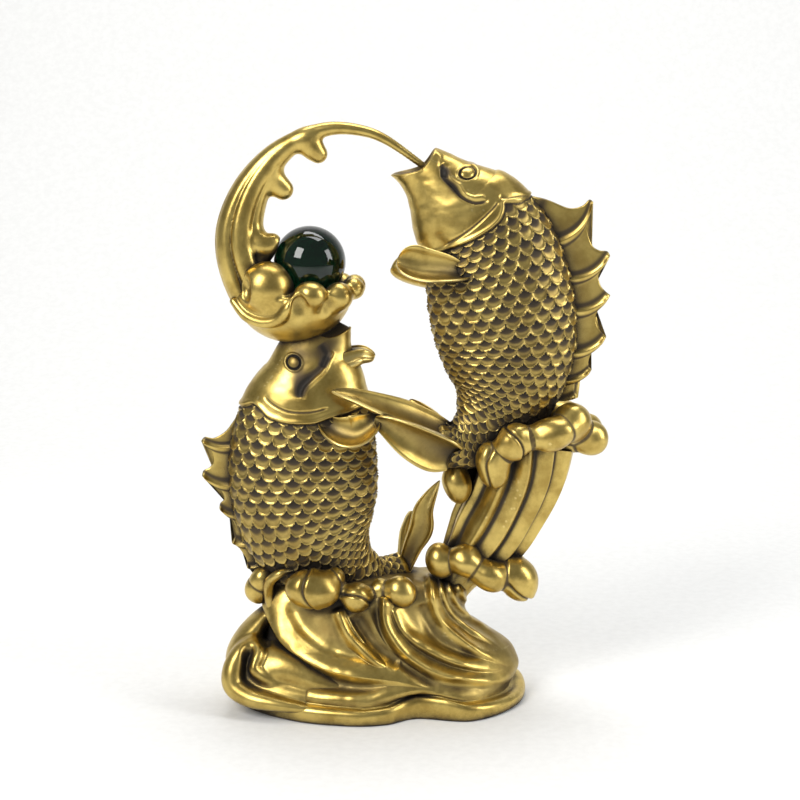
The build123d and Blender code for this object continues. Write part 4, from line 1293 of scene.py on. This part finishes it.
foot_rows = [
    (13.0, 0.02), (13.0, 0.60), (12.0, 0.72), (1.2, 0.82), (0.0, 0.85), (0.0, 0.965),
    (0.6, 0.992), (2.2, 1.0), (4.6, 1.0), (6.4, 0.990), (7.6, 0.965), (8.1, 0.93),
]
mound_rows = [
    (8.4, -59.0, 60.0, 37.5), (11.5, -59.0, 61.5, 35.0), (17.0, -56.5, 60.5, 31.5),
    (22.0, -54.5, 58.0, 29.0), (26.0, -52.0, 53.0, 27.5), (31.0, -50.0, 45.0, 26.0),
    (36.0, -48.0, 38.5, 24.0), (43.0, -46.5, 37.5, 21.8), (49.0, -44.0, 40.0, 20.0),
    (52.6, -39.0, 35.0, 17.0), (53.9, -30.0, 26.0, 12.0), (54.2, -6.0, 6.0, 3.0),
]
foot_places = np.linspace(0, len(foot_rows) - 1, FOOT_RINGS)
foot_profile = smooth(foot_rows, foot_places)
mound_places = np.linspace(0, len(mound_rows) - 1, MOUND_RINGS)
mound_height, mound_left, mound_right, mound_depth = smooth(mound_rows, mound_places).T[..., None]
mound_middle = (mound_left + mound_right) / 2
mound_half = (mound_right - mound_left) / 2
foot_part = np.zeros((FOOT_RINGS, BASE_COLUMNS, 3))
foot_part[..., :2] = foot_line[None] * foot_profile[:, 1, None, None]
foot_part[..., 2] = foot_profile[:, :1]
mound_part = np.zeros((MOUND_RINGS, BASE_COLUMNS, 3))
mound_part[..., 0] = mound_middle + mound_half * np.cos(foot_angle)
mound_part[..., 1] = mound_depth * np.sin(foot_angle)
mound_part[..., 2] = mound_height
low_blend = ease(mound_places / APRON_ROWS)[:, None, None]
mound_part[..., :2] = foot_line * APRON_SHARE * (1 - low_blend) + mound_part[..., :2] * low_blend
lip_near = np.interp(foot_line[:, 0], LIP_PLACES, LIP_TOPS)
lip_far = np.interp(-foot_line[:, 0], LIP_PLACES, LIP_TOPS)
lip_share = ease(0.5 - foot_line[:, 1] / SIDES_BLEND)
lip_top = lip_near * lip_share + lip_far * (1 - lip_share)
outer_part = ease(foot_places - LIP_FROM_ROW)[:, None]
foot_part[..., 2] = foot_part[..., 2] * (1 + (lip_top / LIP_HEIGHT - 1) * outer_part)
mound_part[..., 2] = mound_part[..., 2] + (lip_top - LIP_HEIGHT) * (1 - low_blend[..., 0])
base_grid = np.concatenate([foot_part, mound_part]) + FOOT_CENTRE
print("base grid", base_grid.shape)

# %% [markdown]
# Each wave is a line with its steep outer width, its gentle inner width and its height. Where two
# waves meet, the higher one wins. Hollows are lines that sink, and they stop short of a crest.

# %% Waves drawn on the base
FAR_SIDE_SHIFT = 34
MOUND_GRAIN = 16.0
MOUND_GRAIN_HEIGHT = 0.25
WAVES_BLEND = 10.0
TROUGH_TONE = 0.34
BASE_END_TONES = (0.6, 0.2)
wave_lines = [
    (
        [
            (270, 566), (264, 592), (268, 614), (278, 635), (295, 652),
            (320, 666), (352, 674), (394, 678), (447, 687),
        ],
        1.8, 7.0, 4.4,
    ),
    ([(334, 604), (345, 630), (358, 645), (374, 660), (392, 670)], 2.6, 2.2, 3.0),
    ([(340, 606), (352, 628), (366, 646)], 1.0, 1.0, 1.2),
    ([(381, 590), (382, 620), (394, 643), (415, 662), (442, 675), (478, 681), (518, 679)], 1.6, 4.0, 4.0),
    ([(387, 600), (396, 624), (406, 637), (426, 650), (452, 662), (482, 669), (510, 669)], 1.4, 4.0, 3.0),
    ([(427, 572), (429, 599), (437, 620), (452, 636), (478, 654), (514, 668)], 1.4, 3.0, 2.8),
    ([(436, 576), (445, 606), (464, 628), (499, 648)], 0.9, 1.2, 1.4),
    ([(445, 580), (456, 606), (474, 623), (508, 642)], 0.9, 1.2, 1.2),
    ([(455, 582), (465, 603), (482, 618), (510, 636)], 0.9, 1.4, 1.2),
    ([(300, 690), (330, 693), (372, 692), (400, 688), (440, 694), (500, 692)], 3.0, 3.0, 0.8),
]
hollow_lines = [
    ([(284, 600), (292, 625), (310, 646), (342, 660), (376, 666)], 5.0, 1.6),
    ([(350, 610), (364, 630), (380, 648), (400, 664)], 3.6, 2.6),
    ([(262, 628), (275, 650), (296, 668), (330, 682), (380, 687)], 3.0, 1.4),
    ([(374, 600), (378, 622), (388, 645), (408, 668), (440, 684)], 2.4, 1.6),
    ([(418, 600), (426, 622), (444, 644), (480, 662)], 2.6, 1.2),
]


def waves_seen(across, down):
    """Height of the drawn waves at places of the drawing: steep outside, gentle inside."""
    flat = np.stack([across, down], axis=-1)
    crest = np.zeros(across.shape)
    for path, steep, gentle, rise in wave_lines:
        distance, side, share = from_line(flat, path)
        width = np.where(side > 0, steep, gentle) / DRAWING_STEP
        fade = ease(share / 0.08) * ease((1 - share) / 0.30)
        crest = np.maximum(crest, rise * bell(distance, width) * fade)
    dip = np.zeros(across.shape)
    for path, width, depth in hollow_lines:
        dip = np.maximum(dip, depth * raised(flat, path, width / DRAWING_STEP, 0.15))
    return np.stack([crest - dip * (1 - ease(crest / 2.0)), crest])


above_foot = np.concatenate([np.zeros(FOOT_RINGS), ease(mound_places / 0.8)])[:, None]
turned = (base_grid - FOOT_CENTRE) * [-1.0, -1.0, 1.0] + FOOT_CENTRE
far_across, far_down = seen(turned)
near_share = ease(0.5 - base_grid[..., 1] / WAVES_BLEND)
near_waves = waves_seen(*seen(base_grid))
far_waves = waves_seen(far_across - FAR_SIDE_SHIFT, far_down)
wave_height, wave_crest = (near_waves * near_share + far_waves * (1 - near_share)) * above_foot
wave_height = wave_height + MOUND_GRAIN_HEIGHT * grain(base_grid, MOUND_GRAIN, 11) * above_foot
base_tone = TROUGH_TONE * above_foot * (1 - ease(wave_crest / 1.6))
base_shell = skin(base_grid + outward(base_grid) * wave_height[..., None], base_tone, BASE_END_TONES)
print("waves stand up to", round(float(wave_height.max()), 1), "mm above the mound")

# %% [markdown]
# At the left end a wave curls over itself. Relief on the mound can't fold back like that, so the curl
# is clay again: two beads for its body, and ropes for its rim, its tongue and its run-out.

# %% The curled wave at the left end
CURL_TONE = 0.20
CURL_BLEND = 3.0
CURL_CUT_BLEND = 1.6
curl_beads = [
    (246, 664, -6, 8.0, 15.0, 13.5, 0),
    (268, 668, -13, 13.5, 14.5, 10.0, 12),
]
curl_ropes = [
    (
        [(264, 662, -15), (284, 668, -20), (306, 677, -24), (332, 685, -27), (360, 689, -29)],
        [9.0, 8.4, 6.4, 3.8, 1.2], 1.0, 3.0,
    ),
    (
        [(243, 680, -19), (258, 686, -22), (276, 691, -26), (302, 695, -29), (330, 698, -31)],
        [4.4, 5.0, 4.6, 3.4, 1.6], 1.0, 2.6,
    ),
    (
        [(284, 642, -17), (271, 618, -10), (264, 597, -8), (265, 581, -12), (276, 571, -15), (291, 568, -13)],
        [1.0, 2.0, 2.4, 2.2, 1.8, 0.9], 0.8, 1.6,
    ),
    (
        [(268, 608, -2), (252, 624, -4), (239, 640, -7), (231, 656, -10), (231, 674, -14)],
        [3.0, 4.4, 5.0, 5.0, 4.6], 0.5, 2.4,
    ),
    (
        [
            (249, 641, -16), (237, 650, -20), (229, 667, -22), (230, 684, -24),
            (246, 695, -28), (270, 700, -32), (296, 704, -34), (318, 707, -35),
        ],
        [2.2, 3.6, 4.6, 5.0, 4.4, 3.4, 2.2, 0.8], 0.8, 2.0,
    ),
    (
        [(247, 641, -17), (255, 651, -22), (250, 664, -25), (258, 674, -26), (276, 683, -26)],
        [1.8, 2.6, 2.8, 2.2, 0.8], 0.8, 2.0,
    ),
]
curl_clay = Clay((-86, -44, 1), (-14, 16, 64))
for bead in curl_beads:
    curl_clay.add_bead(at(*bead[:3]), bead[3:6], bead[6], CURL_BLEND)
for places, radii, flat, blend in curl_ropes:
    curl_clay.add_rope(line(*places), radii, flat, blend)
curl_clay.cut_egg(at(243, 654, -27), (2.2, 5.0, 5.0), CURL_CUT_BLEND)
curl_clay.cut_egg(at(262, 634, -15), (2.0, 5.0, 5.5), CURL_CUT_BLEND)
piece("wave_base", [base_shell, curl_clay.shell(CURL_TONE)])

# %% [markdown]
# ## Pieces that keep their solid's shape
# The ball and the dowels are already right, so they keep their meshes and only get a finish.

# %% Finish the kept pieces
kept = {
    "glass_ball": "green_glass",
    "lower_carp_dowel": "dowel_brass",
    "cup_dowel": "dowel_brass",
    "column_dowel": "dowel_brass",
    "upper_carp_dowel": "dowel_brass",
}
for solid in bpy.data.objects:
    finish_name = kept.get(solid.name.split(".")[0])
    if solid.type == "MESH" and finish_name:
        solid.data.materials.clear()
        solid.data.materials.append(finishes[finish_name])
        print("finish for", solid.name)

# %% [markdown]
# ## Floor, light and camera
# A pale sheet runs under the ornament and curves up behind it, as in a photographer's studio.
# Two large soft lamps light it from the front left and the right, and a third lights the top.

# %% Floor
SHEET_FRONT = -1.6
SHEET_WALL = 0.9
SHEET_BEND = 0.5
SHEET_TOP = 2.2
SHEET_HALF_WIDTH = 2.4
PAPER_GREY = (0.80, 0.80, 0.79)
PAPER_PALE = (0.84, 0.84, 0.83)
PAPER_FIBRES = 240.0
bend_start = SHEET_WALL - SHEET_BEND
profile = [(away, 0.0) for away in np.linspace(SHEET_FRONT, bend_start, 12)]
for turn in np.linspace(0, math.pi / 2, 24)[1:]:
    profile.append((bend_start + SHEET_BEND * math.sin(turn), SHEET_BEND * (1 - math.cos(turn))))
profile.append((SHEET_WALL, SHEET_TOP))
sheet_points = [(side * SHEET_HALF_WIDTH, away, up) for away, up in profile for side in (-1, 1)]
sheet_faces = [(2 * row, 2 * row + 1, 2 * row + 3, 2 * row + 2) for row in range(len(profile) - 1)]
sheet_mesh = bpy.data.meshes.new("studio_sheet")
sheet_mesh.from_pydata(sheet_points, [], sheet_faces)
sheet_mesh.polygons.foreach_set("use_smooth", [True] * len(sheet_faces))
sheet = bpy.data.objects.new("studio_sheet", sheet_mesh)
bpy.context.scene.collection.objects.link(sheet)
paper, paper_tree, paper_shader = new_finish("Pale paper")
fibres = noise(paper_tree, own_places(paper_tree), PAPER_FIBRES, 4.0)
paper_colour = mix_colour(paper_tree, ranged(paper_tree, fibres, 0.3, 0.7), PAPER_GREY, PAPER_PALE)
feed(paper_tree, paper_shader, Base_Color=paper_colour, Roughness=0.85)
sheet_mesh.materials.append(paper)
print("paper sheet with", len(sheet_faces), "strips")

# %% [markdown]
# Brass shows what stands round it. Large lamps give it broad soft lights, and a dim grey room fills
# in between them, so that no side turns black.

# %% Lamps and world
LOOK_AT = Vector((-0.0017, 0.0, 0.1312))
WHITE = (1.0, 1.0, 1.0)
WARM_WHITE = (1.0, 0.985, 0.96)
ROOM_GREY = (0.62, 0.64, 0.66, 1.0)
ROOM_STRENGTH = 0.35


def soft_lamp(name, place, size, power, colour=WHITE):
    """Hang one rectangular soft lamp that faces the ornament."""
    lamp = bpy.data.lights.new(name, "AREA")
    lamp.shape = "RECTANGLE"
    lamp.size, lamp.size_y = size
    lamp.energy = power
    lamp.color = colour
    hung = bpy.data.objects.new(name, lamp)
    hung.location = place
    hung.rotation_euler = (LOOK_AT - Vector(place)).to_track_quat("-Z", "Y").to_euler()
    bpy.context.scene.collection.objects.link(hung)


soft_lamp("key_window", (-0.75, -0.85, 0.95), (0.55, 0.75), 14.0, WARM_WHITE)
soft_lamp("side_window", (1.05, -0.35, 0.55), (0.35, 0.8), 6.0)
soft_lamp("top_window", (0.1, 0.25, 1.25), (0.9, 0.5), 9.0)
world = bpy.data.worlds.new("Studio room")
bpy.context.scene.world = world
world.use_nodes = True
room = world.node_tree.nodes["Background"]
room.inputs["Color"].default_value = ROOM_GREY
room.inputs["Strength"].default_value = ROOM_STRENGTH
print("lamps:", ", ".join(lamp.name for lamp in bpy.data.lights))

# %% [markdown]
# The camera has a narrow view from far off, so that the ornament keeps its proportions, and it looks
# down by the same angle as the drawing does.

# %% Camera
VIEW_ANGLE = math.radians(22)
PICTURE_STEPS = 807
PICTURE_WIDTH = PICTURE_STEPS * DRAWING_STEP * MM
SENSOR_WIDTH = 36.0
distance = PICTURE_WIDTH / 2 / math.tan(VIEW_ANGLE / 2)
lens = bpy.data.cameras.new("front_camera")
lens.sensor_width = SENSOR_WIDTH
lens.lens = SENSOR_WIDTH / 2 / math.tan(VIEW_ANGLE / 2)
lens.clip_end = 20.0
camera = bpy.data.objects.new("front_camera", lens)
camera.location = LOOK_AT + Vector((0.0, -math.cos(LOOK_DOWN), math.sin(LOOK_DOWN))) * distance
camera.rotation_euler = (math.radians(90) - LOOK_DOWN, 0.0, 0.0)
bpy.context.scene.collection.objects.link(camera)
bpy.context.scene.camera = camera
bpy.context.scene.view_settings.view_transform = "Standard"
print("camera at", [round(value, 3) for value in camera.location])
